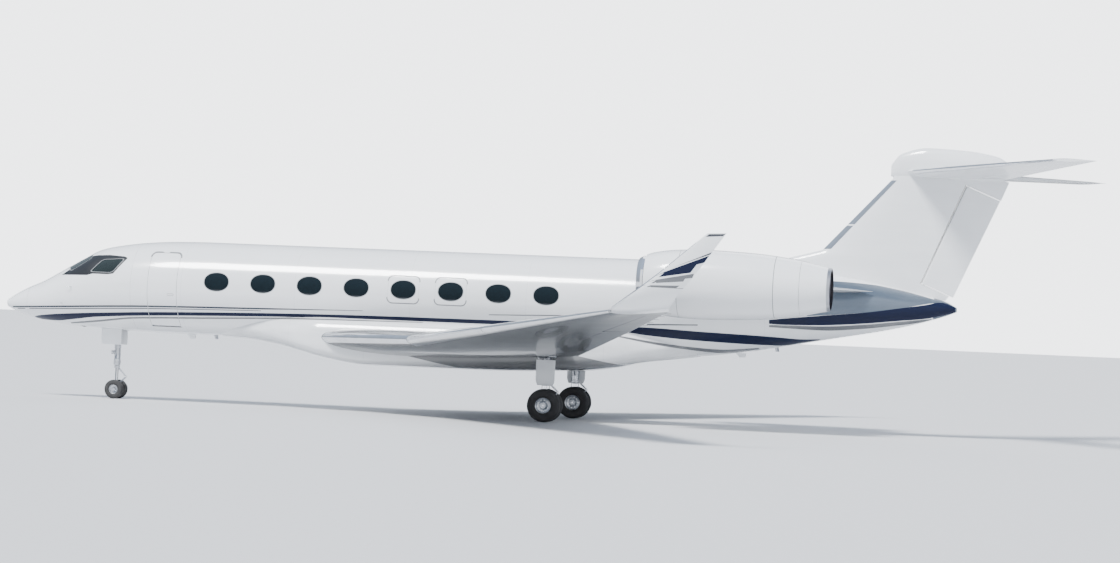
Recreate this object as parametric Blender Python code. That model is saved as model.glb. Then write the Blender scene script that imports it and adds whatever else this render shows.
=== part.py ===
"""Long-range business jet with a T-tail and two engines on the rear fuselage.

Units are metres, with +Z up. The nose points towards -X and the aircraft's left side towards -Y.
The origin is on the ground, at the middle of the overall length and span.
"""
import math

import bmesh
import bpy
from mathutils import Vector

# Overall size
LENGTH = 30.41
SPAN = 30.36
NOSE_X = -LENGTH / 2
TAIL_X = LENGTH / 2

# Fits between pieces
SEAM = 0.0005            # between panels that touch
RUN = 0.0003             # at a pin, a shaft or a seat
CLEAR = 0.012            # round a surface that moves
WALL = 0.08              # fuselage wall, from skin to cabin lining
RING = 24                # sides of the fuselage sections

# Fuselage: station, half width, top, bottom
BODY = (
    (NOSE_X, 0.06, 2.63, 2.51),
    (-15.12, 0.17, 2.70, 2.44),
    (-14.94, 0.30, 2.82, 2.35),
    (-14.60, 0.47, 3.01, 2.24),
    (-14.07, 0.68, 3.25, 2.12),
    (-13.55, 0.84, 3.55, 2.04),
    (-12.86, 1.02, 3.95, 1.97),
    (-12.43, 1.12, 4.17, 1.94),
    (-11.99, 1.20, 4.28, 1.93),
    (-11.11, 1.31, 4.41, 1.91),
    (-10.24, 1.36, 4.47, 1.90),
    (-9.20, 1.375, 4.49, 1.90),
    (4.20, 1.375, 4.49, 1.90),
    (5.97, 1.30, 4.46, 2.10),
    (7.19, 1.15, 4.38, 2.34),
    (8.40, 0.94, 4.25, 2.58),
    (9.60, 0.68, 4.04, 2.82),
    (10.40, 0.47, 3.86, 3.02),
    (11.19, 0.24, 3.68, 3.27),
    (11.51, 0.08, 3.52, 3.40),
)
RADOME_SEAM = -14.45
NOSE_SEAM = -11.20
REAR_SEAM = 3.40
TAIL_SEAM = 10.90
BARREL_START = -9.20     # the section is constant from here to the rear seam

# Cabin
FLOOR_TOP = 2.36
FLOOR_THICK = 0.06
FLOOR_FRONT = -13.10
BULKHEAD_X = -11.08
DOORWAY = (0.32, 1.80)   # half width and height
WINDOW_FIRST = -8.71
WINDOW_PITCH = 1.322
WINDOW_COUNT = 8
WINDOW_Z = 3.385
WINDOW_HALF = (0.3555, 0.26)
WINDOW_POINTS = 14
STRIP_HALF = 0.33        # half height of the strip that carries the panes
HATCH_WINDOWS = {"front": 4, "rear": 5}
HATCH_HALF = (0.43, 0.36)
HATCH_RADIUS = 0.13
RAIL_HEIGHT = 0.03
PILOT_X, PILOT_Y, PILOT_HALF = -12.05, 0.50, 0.22
SEAT_Y, SEAT_HALF = 0.62, 0.27
# Cabin seats: station, and 1 for facing forward or -1 for facing aft
CABIN_SEATS = ((-7.95, -1), (-6.65, 1), (-5.30, -1), (-4.00, 1), (-2.65, -1), (-1.35, 1), (-0.10, 1))
DOOR_X = (-10.69, -9.85)
DOOR_Z = (2.12, 4.13)
DOOR_RADIUS = 0.13
DOOR_GAP = 0.008
DOOR_SILL_GAP = 0.035
DOOR_HINGE_RADIUS = 0.012

# Belly fairing: station, half width, bottom
FAIRING = (
    (-8.80, 0.55, 1.885),
    (-7.90, 0.95, 1.83),
    (-7.06, 1.25, 1.72),
    (-6.20, 1.50, 1.53),
    (-5.70, 1.60, 1.42),
    (-4.46, 1.60, 1.26),
    (-1.48, 1.60, 1.27),
    (1.45, 1.60, 1.38),
    (2.30, 1.45, 1.50),
    (3.10, 1.20, 1.68),
    (3.93, 0.95, 1.80),
    (4.60, 0.60, 1.90),
)
FAIRING_SIDE = 1.60

# Wing: spanwise station, leading edge x and z, trailing edge x and z, thickness
WING = (
    (FAIRING_SIDE + RUN, -5.60, 2.00, 1.39, 1.78, 0.68),
    (4.00, -2.66, 2.06, 2.25, 1.92, 0.52),
    (14.00, 4.43, 3.02, 5.83, 3.06, 0.135),
)
FLAP_SPAN = (2.90, 9.50)
FLAP_HINGE = 0.78        # share of the chord
AILERON_SPAN = (9.85, 13.45)
AILERON_HINGE = 0.76
SPOILER_SPAN = (4.60, 9.20)
SPOILER_HINGE = 0.64
SPOILER_CHORD = (0.42, 0.22)

# Winglet: leading edge, trailing edge, cant in degrees, thickness
WINGLET = (
    ((4.43, 14.0, 3.02), (5.83, 14.0, 3.06), 0, 0.135),
    ((4.58, 14.45, 3.11), (5.92, 14.45, 3.15), 18, 0.125),
    ((4.96, 14.78, 3.37), (6.12, 14.80, 3.41), 50, 0.110),
    ((5.58, 14.96, 3.83), (6.50, 14.98, 3.86), 74, 0.085),
    ((6.80, 15.12, 4.86), (7.25, SPAN / 2 - 0.003, 4.88), 82, 0.030),
)

# Fin: height, leading edge, trailing edge, thickness
FIN = (
    (3.70, 7.60, 11.20, 0.30),
    (4.30, 6.90, 11.62, 0.34),
    (4.62, 6.70, 11.80, 0.34),
    (4.94, 7.84, 11.96, 0.34),
    (6.9296, 9.66, 12.77, 0.30),
)
RUDDER_HINGE = ((10.60, 0.0, 4.10), (11.70, 0.0, 6.78))
# Tailplane: spanwise station, leading edge x and z, trailing edge x and z, thickness
TAILPLANE = (
    (0.0, 9.95, 7.13, 12.74, 7.02, 0.24),
    (6.00, 14.17, 7.26, TAIL_X, 7.27, 0.10),
)
ELEVATOR_SPAN = (0.48, 5.80)
ELEVATOR_HINGE = 0.70
# Fairing on top of the fin: station, half width, top, bottom
BULLET = (
    (9.60, 0.04, 7.30, 7.00),
    (9.86, 0.14, 7.60, 6.90),
    (10.60, 0.21, 7.80, 6.86),
    (11.60, 0.20, 7.74, 6.86),
    (12.45, 0.11, 7.60, 6.90),
    (12.72, 0.04, 7.45, 7.02),
)
FIN_TOP = 6.93

# Engines
ENGINE_Y = 2.75
ENGINE_Z = 3.84
ENGINE_SIDES = 20
# Nacelle outer and inner profile: station, radius
NACELLE_OUTER = (
    (3.30, 0.565), (3.34, 0.66), (3.62, 0.785), (4.30, 0.89), (5.00, 0.915),
    (6.20, 0.88), (7.40, 0.76), (8.40, 0.56),
)
NACELLE_INNER = ((8.40, 0.53), (7.50, 0.65), (5.80, 0.74), (4.95, 0.74), (4.30, 0.655), (3.62, 0.54))
FAN_X = (4.28, 4.42)
FAN_RADIUS = 0.62
FAN_HUB = 0.20
FAN_BLADES = 10
CORE_RADIUS = 0.38
DUCT_RADIUS = 0.74
STRUT_X = (5.05, 5.70)

# Pylon: spanwise station, leading edge, trailing edge, thickness
PYLON = ((0.70, 4.45, 9.30, 0.34), (2.20, 4.75, 8.00, 0.28))
PYLON_Z = 3.86

# Landing gear
NOSE_GEAR_X = -11.90
NOSE_TYRE = (0.2665, 0.092, 0.1250)      # radius, half width, rim radius
NOSE_TRACK = 0.19                        # half
NOSE_LEG_BOTTOM = 0.95
NOSE_SHAFT = 0.030
WELL_X = (-12.90, -11.65)
WELL_HALF = 0.28
WELL_WALL = 0.025
MAIN_GEAR_X = 0.80
MAIN_GEAR_Y = 2.20
MAIN_TYRE = (0.445, 0.14, 0.2150)
MAIN_TRACK = 0.20
MAIN_SHAFT = 0.050
TRUNNION_HALF = 0.25
POCKET_ROOF = 1.84
WHEEL_SIDES = 16


# Materials and mesh helpers

def clear_scene():
    for old in list(bpy.data.objects):
        bpy.data.objects.remove(old, do_unlink=True)


def material(name, colour, roughness, metallic=0.0):
    made = bpy.data.materials.new(name)
    made.use_nodes = True
    shader = made.node_tree.nodes["Principled BSDF"]
    shader.inputs["Base Color"].default_value = (*colour, 1.0)
    shader.inputs["Roughness"].default_value = roughness
    shader.inputs["Metallic"].default_value = metallic
    return made


def add_object(name, points, faces, finish, smooth=False):
    """One closed mesh object with its faces turned outwards."""
    mesh = bpy.data.meshes.new(name)
    mesh.from_pydata([tuple(point) for point in points], [], faces)
    work = bmesh.new()
    work.from_mesh(mesh)
    bmesh.ops.recalc_face_normals(work, faces=work.faces)
    work.to_mesh(mesh)
    work.free()
    mesh.materials.append(finish)
    if smooth:
        mesh.shade_smooth()
        mesh.set_sharp_from_angle(angle=math.radians(35))
    made = bpy.data.objects.new(name, mesh)
    bpy.context.scene.collection.objects.link(made)
    return made


def wrap_faces(first, second, count, closed=True):
    """Triangles between two rings of the same count, always split on the same diagonal."""
    faces = []
    for k in range(count if closed else count - 1):
        j = (k + 1) % count
        faces.append((first + k, first + j, second + j))
        faces.append((first + k, second + j, second + k))
    return faces


def loft(name, rings, finish, smooth=False):
    """A closed body through rings of points, with a flat cap at each end."""
    count = len(rings[0])
    points = [point for ring in rings for point in ring]
    faces = []
    for i in range(len(rings) - 1):
        faces += wrap_faces(i * count, (i + 1) * count, count)
    last = (len(rings) - 1) * count
    faces.append(tuple(range(count)))
    faces.append(tuple(range(last, last + count)))
    return add_object(name, points, faces, finish, smooth)


def loop_loft(name, rings, finish, smooth=False):
    """A closed body whose last ring joins its first, such as a tube wall or a tyre."""
    count = len(rings[0])
    points = [point for ring in rings for point in ring]
    faces = []
    for i in range(len(rings)):
        j = (i + 1) % len(rings)
        faces += wrap_faces(i * count, j * count, count)
    return add_object(name, points, faces, finish, smooth)


def prism(name, outline, axis, low, high, finish):
    """An outline pushed along one axis. Its two values are the other two axes in order."""
    def place(pair, along):
        values = list(pair)
        values.insert(axis, along)
        return values
    count = len(outline)
    points = [place(pair, low) for pair in outline] + [place(pair, high) for pair in outline]
    faces = [tuple(range(count)), tuple(range(count, 2 * count))]
    for k in range(count):
        j = (k + 1) % count
        faces.append((k, j, count + j, count + k))
    return add_object(name, points, faces, finish)


def box(name, low, high, finish):
    outline = ((low[0], low[1]), (high[0], low[1]), (high[0], high[1]), (low[0], high[1]))
    return prism(name, outline, 2, low[2], high[2], finish)


def turned(name, profile, centre, axis, sides, finish, closed=False, smooth=True):
    """A turned body: profile pairs are (place along the axis, radius), flats at bottom and top."""
    rings = []
    for along, radius in profile:
        ring = []
        for k in range(sides):
            angle = 2 * math.pi * (k + 0.5) / sides - math.pi / 2
            across, up = radius * math.cos(angle), radius * math.sin(angle)
            offset = {0: (along, across, up), 1: (across, along, up), 2: (across, up, along)}[axis]
            ring.append(Vector(centre) + Vector(offset))
        rings.append(ring)
    builder = loop_loft if closed else loft
    return builder(name, rings, finish, smooth)


def boolean(target, other, operation="DIFFERENCE"):
    """Combine two bodies. The second one becomes a hidden guide."""
    step = target.modifiers.new(operation.title(), "BOOLEAN")
    step.operation = operation
    step.solver = "EXACT"
    step.object = other
    other.hide_render = True
    other.display_type = "WIRE"


def join_meshes(name, objects, finish):
    """Several separate bodies as one cutter."""
    points, faces = [], []
    for piece in objects:
        start = len(points)
        points += [vertex.co.copy() for vertex in piece.data.vertices]
        faces += [tuple(start + index for index in face.vertices) for face in piece.data.polygons]
        bpy.data.objects.remove(piece, do_unlink=True)
    return add_object(name, points, faces, finish)


def rounded_rectangle(centre, half, radius, steps=3):
    """Corner arcs of a rounded rectangle, anticlockwise."""
    outline = []
    for corner, (sx, sz) in enumerate(((1, 1), (-1, 1), (-1, -1), (1, -1))):
        for k in range(steps + 1):
            angle = math.radians(90 * corner + 90 * k / steps)
            outline.append((
                centre[0] + sx * (half[0] - radius) + radius * math.cos(angle),
                centre[1] + sz * (half[1] - radius) + radius * math.sin(angle),
            ))
    return outline


def mix(a, b, share):
    return a + (b - a) * share


def between(rows, key):
    """Straight-line reading of a table whose first column rises."""
    for low, high in zip(rows, rows[1:]):
        if key <= high[0]:
            break
    share = (key - low[0]) / (high[0] - low[0])
    return [mix(a, b, share) for a, b in zip(low[1:], high[1:])]


# Fuselage

def body_ring(x, inset=0.0):
    """One section of the fuselage, drawn in by the inset or out by a negative one."""
    half_width, top, bottom = between(BODY, x)
    middle = (top + bottom) / 2
    wide, tall = half_width - inset, (top - bottom) / 2 - inset
    ring = []
    for k in range(RING):
        angle = 2 * math.pi * (k + 0.5) / RING
        ring.append(Vector((x, wide * math.sin(angle), middle + tall * math.cos(angle))))
    return ring


def body_stations(start, end):
    inner = [row[0] for row in BODY if start + 0.05 < row[0] < end - 0.05]
    return [start] + inner + [end]


def body_solid(name, start, end, inset, finish):
    """The filled fuselage between two stations, for cutting others to fit."""
    return loft(name, [body_ring(x, inset) for x in body_stations(start, end)], finish)


def body_shell(name, start, end, finish, outer=0.0, inner=WALL):
    """A length of fuselage wall, open at both ends."""
    stations = body_stations(start, end)
    rings = [body_ring(x, outer) for x in stations] + [body_ring(x, inner) for x in reversed(stations)]
    return loop_loft(name, rings, finish, smooth=True)


def wall_width(x, z, inset):
    """Half width inside the fuselage wall at a height."""
    ring = [point for point in body_ring(x, inset) if point.y > 0]
    ring.sort(key=lambda point: point.z)
    for low, high in zip(ring, ring[1:]):
        if low.z <= z <= high.z:
            return mix(low.y, high.y, (z - low.z) / (high.z - low.z))
    return 0.0


def window_outline(centre_x, spread=0.0):
    outline = []
    for k in range(WINDOW_POINTS):
        angle = 2 * math.pi * (k + 0.5) / WINDOW_POINTS
        reach = [math.copysign(abs(value) ** 0.8, value) for value in (math.cos(angle), math.sin(angle))]
        outline.append((
            centre_x + (WINDOW_HALF[0] + spread) * reach[0],
            WINDOW_Z + (WINDOW_HALF[1] + spread) * reach[1],
        ))
    return outline


def window_x(index):
    return WINDOW_FIRST + WINDOW_PITCH * index


def through_side(name, outline, side, finish):
    """A cutter that goes out through one side of the fuselage."""
    low, high = sorted((side * 0.35, side * 1.8))
    return prism(name, outline, 1, low, high, finish)


def door_outline(gap=0.0, sill=0.0):
    """Square at the sill, where the hinge is, and round at the top."""
    centre = ((DOOR_X[0] + DOOR_X[1]) / 2, (DOOR_Z[0] + DOOR_Z[1]) / 2)
    half = ((DOOR_X[1] - DOOR_X[0]) / 2 + gap, (DOOR_Z[1] - DOOR_Z[0]) / 2 + gap)
    arcs = rounded_rectangle(centre, half, DOOR_RADIUS)
    top = arcs[:len(arcs) // 2]
    bottom = DOOR_Z[0] - sill
    return top + [(DOOR_X[0] - gap, bottom), (DOOR_X[1] + gap, bottom)]


def hatch_outline(which, gap=0.0):
    centre = (window_x(HATCH_WINDOWS[which]), WINDOW_Z)
    half = (HATCH_HALF[0] + gap, HATCH_HALF[1] + gap)
    return rounded_rectangle(centre, half, HATCH_RADIUS)


def cabin_shell(finish):
    """The pressure cabin with its window, hatch and door openings."""
    shell = body_shell("cabin_shell", NOSE_SEAM + SEAM, REAR_SEAM, finish)
    for side, word in ((-1, "left"), (1, "right")):
        cuts = []
        for index in range(WINDOW_COUNT):
            if index not in HATCH_WINDOWS.values():
                cuts.append(through_side("hole", window_outline(window_x(index)), side, finish))
        for which in HATCH_WINDOWS:
            cuts.append(through_side("hole", hatch_outline(which, SEAM), side, finish))
        if side < 0:
            cuts.append(through_side("hole", door_outline(DOOR_GAP, DOOR_SILL_GAP), side, finish))
        boolean(shell, join_meshes("cabin_openings_" + word, cuts, finish))


def exit_hatches(finish):
    """Removable panels round two windows on each side."""
    for side, word in ((-1, "left"), (1, "right")):
        for which, index in HATCH_WINDOWS.items():
            centre = window_x(index)
            hatch = body_shell("exit_hatch_" + word + "_" + which, centre - 0.6, centre + 0.6, finish)
            edge = through_side("hatch_edge_" + word + which, hatch_outline(which), side, finish)
            hole = through_side("hatch_hole_" + word + which, window_outline(centre), side, finish)
            boolean(hatch, edge, "INTERSECT")
            boolean(hatch, hole)


def window_row(side, word, glass):
    """Panes that fill the window openings of one side, carried by a strip inside the wall."""
    start, end = window_x(0) - 0.5, window_x(WINDOW_COUNT - 1) + 0.42
    row = body_shell("cabin_windows_" + word, start, end, glass, 0.012, WALL + 0.010)
    panes = [
        through_side("pane", window_outline(window_x(index), -0.0015), side, glass)
        for index in range(WINDOW_COUNT)
    ]
    boolean(row, join_meshes("window_panes_" + word, panes, glass), "INTERSECT")
    strip = body_shell("window_strip_" + word, start + 0.02, end - 0.02, glass, WALL + SEAM, WALL + 0.014)
    low, high = sorted((side * 0.3, side * 1.8))
    belt_low = (start - 1, low, WINDOW_Z - STRIP_HALF)
    belt_high = (end + 1, high, WINDOW_Z + STRIP_HALF)
    bounds = box("window_belt_" + word, belt_low, belt_high, glass)
    boolean(strip, bounds, "INTERSECT")
    boolean(row, strip, "UNION")


def radome(finish):
    loft("radome", [body_ring(x) for x in body_stations(NOSE_X, RADOME_SEAM - SEAM)], finish, smooth=True)


def nose_section(finish):
    """The flight deck shell, open at both ends, with its window and wheel well openings."""
    shell = body_shell("nose_section", RADOME_SEAM, NOSE_SEAM, finish)
    cuts = [pane_cutter(which, side, 0.0, finish) for which in PANES for side in (-1, 1)]
    low = (WELL_X[0] - SEAM, -WELL_HALF - SEAM, 1.7)
    high = (WELL_X[1] + SEAM, WELL_HALF + SEAM, FLOOR_TOP - FLOOR_THICK)
    cuts.append(box("hole", low, high, finish))
    boolean(shell, join_meshes("nose_openings", cuts, finish))


# Flight deck panes of the left side: windshield in plan, side window in elevation
PANES = {
    "windshield": (2, ((-13.40, -0.05), (-13.17, -0.68), (-12.55, -0.66), (-12.66, -0.05)), (3.1, 4.5)),
    "side_window": (1, ((-12.50, 3.52), (-12.17, 3.89), (-11.47, 3.94), (-11.78, 3.52)), (0.5, 1.6)),
}


def pane_cutter(which, side, shrink, finish):
    """The edge of one pane, drawn in towards its middle by the shrink."""
    axis, corners, reach = PANES[which]
    middle = [sum(corner[i] for corner in corners) / len(corners) for i in (0, 1)]
    size = min(math.dist(corner, middle) for corner in corners) * 0.7
    outline = [[mix(corner[i], middle[i], shrink / size) for i in (0, 1)] for corner in corners]
    if axis == 2:
        outline = [(x, -side * y) for x, y in outline]
        low, high = reach
    else:
        low, high = sorted((side * reach[0], side * reach[1]))
    word = "_left" if side < 0 else "_right"
    return prism("pane_edge_" + which + word, outline, axis, low, high, finish)


def flight_deck_windows(glass):
    for which in PANES:
        for side, word in ((-1, "left"), (1, "right")):
            pane = body_shell(which + "_" + word, -13.7, NOSE_SEAM - 0.1, glass, 0.010, 0.032)
            boolean(pane, pane_cutter(which, side, SEAM, glass), "INTERSECT")


def cabin_floor(finish):
    """One floor through the flight deck and the cabin, resting on the fuselage wall."""
    rings = []
    stations = [FLOOR_FRONT] + body_stations(FLOOR_FRONT, BARREL_START)[1:]
    stations += [BARREL_START + 0.2, REAR_SEAM - 0.08]
    for x in stations:
        inset = WALL + (SEAM if x > BARREL_START else CLEAR)
        low, high = FLOOR_TOP - FLOOR_THICK, FLOOR_TOP
        narrow, wide = wall_width(x, low, inset), wall_width(x, high, inset)
        rings.append([
            Vector((x, -narrow, low)), Vector((x, narrow, low)),
            Vector((x, wide, high)), Vector((x, -wide, high)),
        ])
    loft("cabin_floor", rings, finish)


def cockpit_bulkhead(finish):
    """A partition with a doorway, standing on the floor behind the flight deck."""
    foot = FLOOR_TOP + RUN
    inset = WALL + CLEAR
    ring = [point for point in body_ring(BULKHEAD_X, inset) if point.z > foot + 0.05]
    right = sorted((point for point in ring if point.y > 0), key=lambda point: point.z)
    left = sorted((point for point in ring if point.y < 0), key=lambda point: -point.z)
    edge = wall_width(BULKHEAD_X, foot, inset)
    outline = [(edge, foot)] + [(point.y, point.z) for point in right + left] + [(-edge, foot)]
    half, tall = DOORWAY
    outline += [(-half, foot), (-half, foot + tall), (half, foot + tall), (half, foot)]
    prism("cockpit_bulkhead", outline, 0, BULKHEAD_X, BULKHEAD_X + 0.04, finish)


def aft_bulkhead(finish):
    rings = [body_ring(x, WALL + SEAM) for x in (REAR_SEAM - 0.06, REAR_SEAM - 0.01)]
    loft("aft_bulkhead", rings, finish)


def seat_outline(x, facing, tilt=0.10):
    """Side outline of a seat from its front foot round to its back foot, as (x, z) pairs."""
    base = FLOOR_TOP + RUN + 0.03
    shape = (
        (-0.18, 0.0), (-0.18, 0.20), (-0.26, 0.24), (-0.28, 0.42), (0.16, 0.38),
        (0.16 + tilt, 1.05), (0.30 + tilt, 1.05), (0.30, 0.24), (0.20, 0.20), (0.20, 0.0),
    )
    outline = [(x + facing * dx, base + dz) for dx, dz in shape]
    return outline if facing > 0 else outline[::-1]


def seat_run(name, places, half, centre_y, finish):
    """A row of seats along the cabin on one floor rail, as one body."""
    rail = FLOOR_TOP + RUN
    outline = []
    for x, facing in places:
        outline += seat_outline(x, facing)
    start, end = outline[0][0] - 0.10, outline[-1][0] + 0.10
    outline = [(start, rail), (start, rail + 0.03)] + outline + [(end, rail + 0.03), (end, rail)]
    return prism(name, outline, 1, centre_y - half, centre_y + half, finish)


def seats(finish):
    """Two pilot seats on a cross rail, and the cabin seats on theirs."""
    rail = FLOOR_TOP + RUN
    pilots = seat_run("pilot_seats", [(PILOT_X, 1)], PILOT_HALF, -PILOT_Y, finish)
    copilot = seat_run("copilot_seat_form", [(PILOT_X, 1)], PILOT_HALF, PILOT_Y, finish)
    cross_low = (PILOT_X + 0.02, -0.6, rail)
    cross_high = (PILOT_X + 0.12, 0.6, rail + RAIL_HEIGHT)
    boolean(pilots, copilot, "UNION")
    boolean(pilots, box("pilot_seat_rail", cross_low, cross_high, finish), "UNION")
    left = seat_run("cabin_seats", CABIN_SEATS, SEAT_HALF, -SEAT_Y, finish)
    right = seat_run("cabin_seats_right_form", CABIN_SEATS, SEAT_HALF, SEAT_Y, finish)
    tie = box("seat_tie", (-4.35, -0.7, rail), (-4.20, 0.7, rail + RAIL_HEIGHT), finish)
    boolean(left, right, "UNION")
    boolean(left, tie, "UNION")


def instrument_panel(finish):
    """The panel and its centre pedestal, standing on the floor."""
    foot = FLOOR_TOP + RUN
    outline = (
        (-12.98, foot), (-12.98, 3.10), (-13.08, 3.20), (-13.02, 3.30), (-12.72, 3.34),
        (-12.78, 2.95), (-12.55, 2.86), (-12.20, 2.80), (-12.20, foot),
    )
    pedestal = prism("instrument_panel", outline, 1, -0.16, 0.16, finish)
    wide = prism("panel_width", outline[1:6], 1, -0.60, 0.60, finish)
    boolean(pedestal, wide, "UNION")


def entry_door(finish):
    """The airstair door: a piece of the left wall with its hinge tube and its stairs."""
    door = body_shell("entry_door", DOOR_X[0] - 0.15, DOOR_X[1] + 0.15, finish)
    boolean(door, through_side("entry_door_edge", door_outline(), -1, finish), "INTERSECT")
    reach = DOOR_GAP - RUN
    tube = [(DOOR_X[0] - reach, DOOR_HINGE_RADIUS), (DOOR_X[1] + reach, DOOR_HINGE_RADIUS)]
    axis_y, axis_z = door_hinge()
    hinge = turned("door_hinge_tube", tube, (0.0, axis_y, axis_z), 0, 12, finish)
    boolean(door, hinge, "UNION")
    middle = (DOOR_X[0] + DOOR_X[1]) / 2
    heights = [2.55 + 0.20 * k for k in range(8)]
    outer = [(-wall_width(middle, z, WALL - 0.015), z) for z in heights]
    inner = [(-wall_width(middle, z, WALL + 0.11), z) for z in reversed(heights)]
    for k, x in enumerate((DOOR_X[0] + 0.10, DOOR_X[1] - 0.13)):
        boolean(door, prism("stair_side_" + str(k), outer + inner, 0, x, x + 0.03, finish), "UNION")
    for k, z in enumerate(heights[:-1]):
        root = Vector((-wall_width(middle, z, WALL - 0.008), z + 0.02))
        depth = Vector((1, 1)).normalized() * 0.25
        thick = Vector((1, -1)).normalized() * 0.022
        outline = [tuple(p) for p in (root, root + depth, root + depth + thick, root + thick)]
        tread = prism("stair_tread_" + str(k), outline, 0, DOOR_X[0] + 0.115, DOOR_X[1] - 0.115, finish)
        boolean(door, tread, "UNION")


def door_hinge():
    """Where the door's hinge runs: y and z on the skin at the sill."""
    z = DOOR_Z[0] - 0.002
    return -wall_width(DOOR_X[0], z, 0.0), z


def rear_fuselage(finish):
    body_shell("rear_fuselage", REAR_SEAM + SEAM, TAIL_SEAM, finish, 0.0, 0.05)


def tail_cone(finish):
    rings = [body_ring(x) for x in body_stations(TAIL_SEAM + SEAM, BODY[-1][0])]
    loft("tail_cone", rings, finish, smooth=True)


def belly_fairing(finish):
    """The fairing that wraps the wing's root, with flat sides where the wing meets it."""
    rings = []
    for x, half, bottom in FAIRING:
        side_low = bottom + 0.30 * min(1.0, half)
        side_top = 2.15 if half > 1.0 else side_low + 0.06
        shape = (
            (0.30 * half, bottom), (0.74 * half, bottom + 0.04), (half - 0.06, bottom + 0.16),
            (half, side_low), (half, side_top), (0.90 * half, side_top + 0.30),
            (0.62 * half, side_top + 0.46),
        )
        right = [Vector((x, y, z)) for y, z in shape]
        left = [Vector((x, -y, z)) for y, z in reversed(shape)]
        rings.append(right + left)
    fairing = loft("belly_fairing", rings, finish, smooth=True)
    boolean(fairing, body_solid("fairing_seat", NOSE_SEAM, TAIL_SEAM, -SEAM, finish))


# Wings and tail

AIRFOIL = (0.0, 0.03, 0.12, 0.28, 0.48, 0.68, 0.85, 1.0)    # shares of the chord
TRAILING_HALF = 0.003


def half_thickness(share, thickness):
    """Half the depth of the section at a share of the chord."""
    s = share
    curve = 0.2969 * math.sqrt(s) - 0.126 * s - 0.3516 * s ** 2 + 0.2843 * s ** 3 - 0.1036 * s ** 4
    return max(5 * thickness * curve, TRAILING_HALF)


def section_ring(front, rear, up, thickness):
    """An airfoil between its two edges, deep along the up direction."""
    front, rear, up = Vector(front), Vector(rear), Vector(up)
    upper = [front.lerp(rear, s) + up * half_thickness(s, thickness) for s in AIRFOIL]
    lower = [front.lerp(rear, s) - up * half_thickness(s, thickness) for s in AIRFOIL[1:]]
    upper[0] = front
    return upper + lower[::-1]


def mirrored(point, side):
    return Vector((point[0], side * point[1], point[2]))


def wing_point(rows, y, share):
    """A point on the mean surface of a wing or tailplane and its half depth there."""
    front_x, front_z, rear_x, rear_z, thickness = between(rows, y)
    point = Vector((mix(front_x, rear_x, share), y, mix(front_z, rear_z, share)))
    return point, half_thickness(share, thickness)


def in_plane(point, axis, line):
    """Where a line meets the plane through a point, square to the axis."""
    start, along = line[0], line[1] - line[0]
    return start + along * ((point - start).dot(axis) / along.dot(axis))


def hinge_frame(start, end, up):
    """Axis, aft and up directions of a hinge line."""
    axis = (end - start).normalized()
    aft = axis.cross(up).normalized()
    if aft.x < 0:
        aft = -aft
    return axis, aft, aft.cross(axis) if aft.cross(axis).dot(up) > 0 else axis.cross(aft)


def nose_arc(centre, radius, aft, up, steps=6):
    arc = []
    for k in range(steps + 1):
        angle = math.radians(90 + 180 * k / steps)
        arc.append(centre + aft * radius * math.cos(angle) + up * radius * math.sin(angle))
    return arc


def hinged_surface(name, hinge, radii, trailing, up, finish, stub=0.02):
    """A control surface with a round nose about its hinge and a stub shaft at each end."""
    start, end = hinge
    axis, aft, up = hinge_frame(start, end, up)
    rings = []
    for place, inward, radius in ((start, 1, radii[0]), (end, -1, radii[1])):
        pair = []
        body = place + axis * inward * CLEAR
        edge = in_plane(body, axis, trailing)
        tail = [edge + up * TRAILING_HALF, edge - up * TRAILING_HALF]
        full = nose_arc(body, radius, aft, up) + tail[::-1]
        for spot in (place + axis * inward * RUN, body):
            small = nose_arc(spot, stub, aft, up)
            small += [spot + (aft * 0.7 - up * 0.7) * stub, spot + (aft * 0.7 + up * 0.7) * stub]
            pair.append(small)
        pair.append(full)
        rings.append(pair)
    return loft(name, rings[0] + rings[1][::-1], finish, smooth=True)


def surface_notch(name, hinge, radii, trailing, up, finish):
    """The space a control surface takes out of the fixed surface."""
    start, end = hinge
    axis, aft, up = hinge_frame(start, end, up)
    rings = []
    for place, radius in ((start, radii[0]), (end, radii[1])):
        reach = (in_plane(place, axis, trailing) - place).dot(aft) + 0.3
        corners = ((-radius - CLEAR, -0.7), (reach, -0.7), (reach, 0.7), (-radius - CLEAR, 0.7))
        rings.append([place + aft * a + up * u for a, u in corners])
    return loft(name, rings, finish)


def wing_hinge(rows, span, share, side):
    """Hinge line, nose radii and trailing edge of a surface on a wing or tailplane."""
    ends = [wing_point(rows, y, share) for y in span]
    hinge = [mirrored(point, side) for point, _ in ends]
    radii = [half - 0.002 for _, half in ends]
    low = rows[0][0]
    trailing = [mirrored(wing_point(rows, y, 1.0)[0], side) for y in (max(span[0], low), span[1])]
    return hinge, radii, trailing


UP = Vector((0, 0, 1))


def spoiler_panels(side):
    """Front and rear of the spoiler run: hinge line points and the panel chord at each end."""
    ends = []
    for y, chord in zip(SPOILER_SPAN, SPOILER_CHORD):
        point, half = wing_point(WING, y, SPOILER_HINGE)
        ends.append((mirrored(point + UP * (half - 0.018), side), chord))
    return ends


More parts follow.
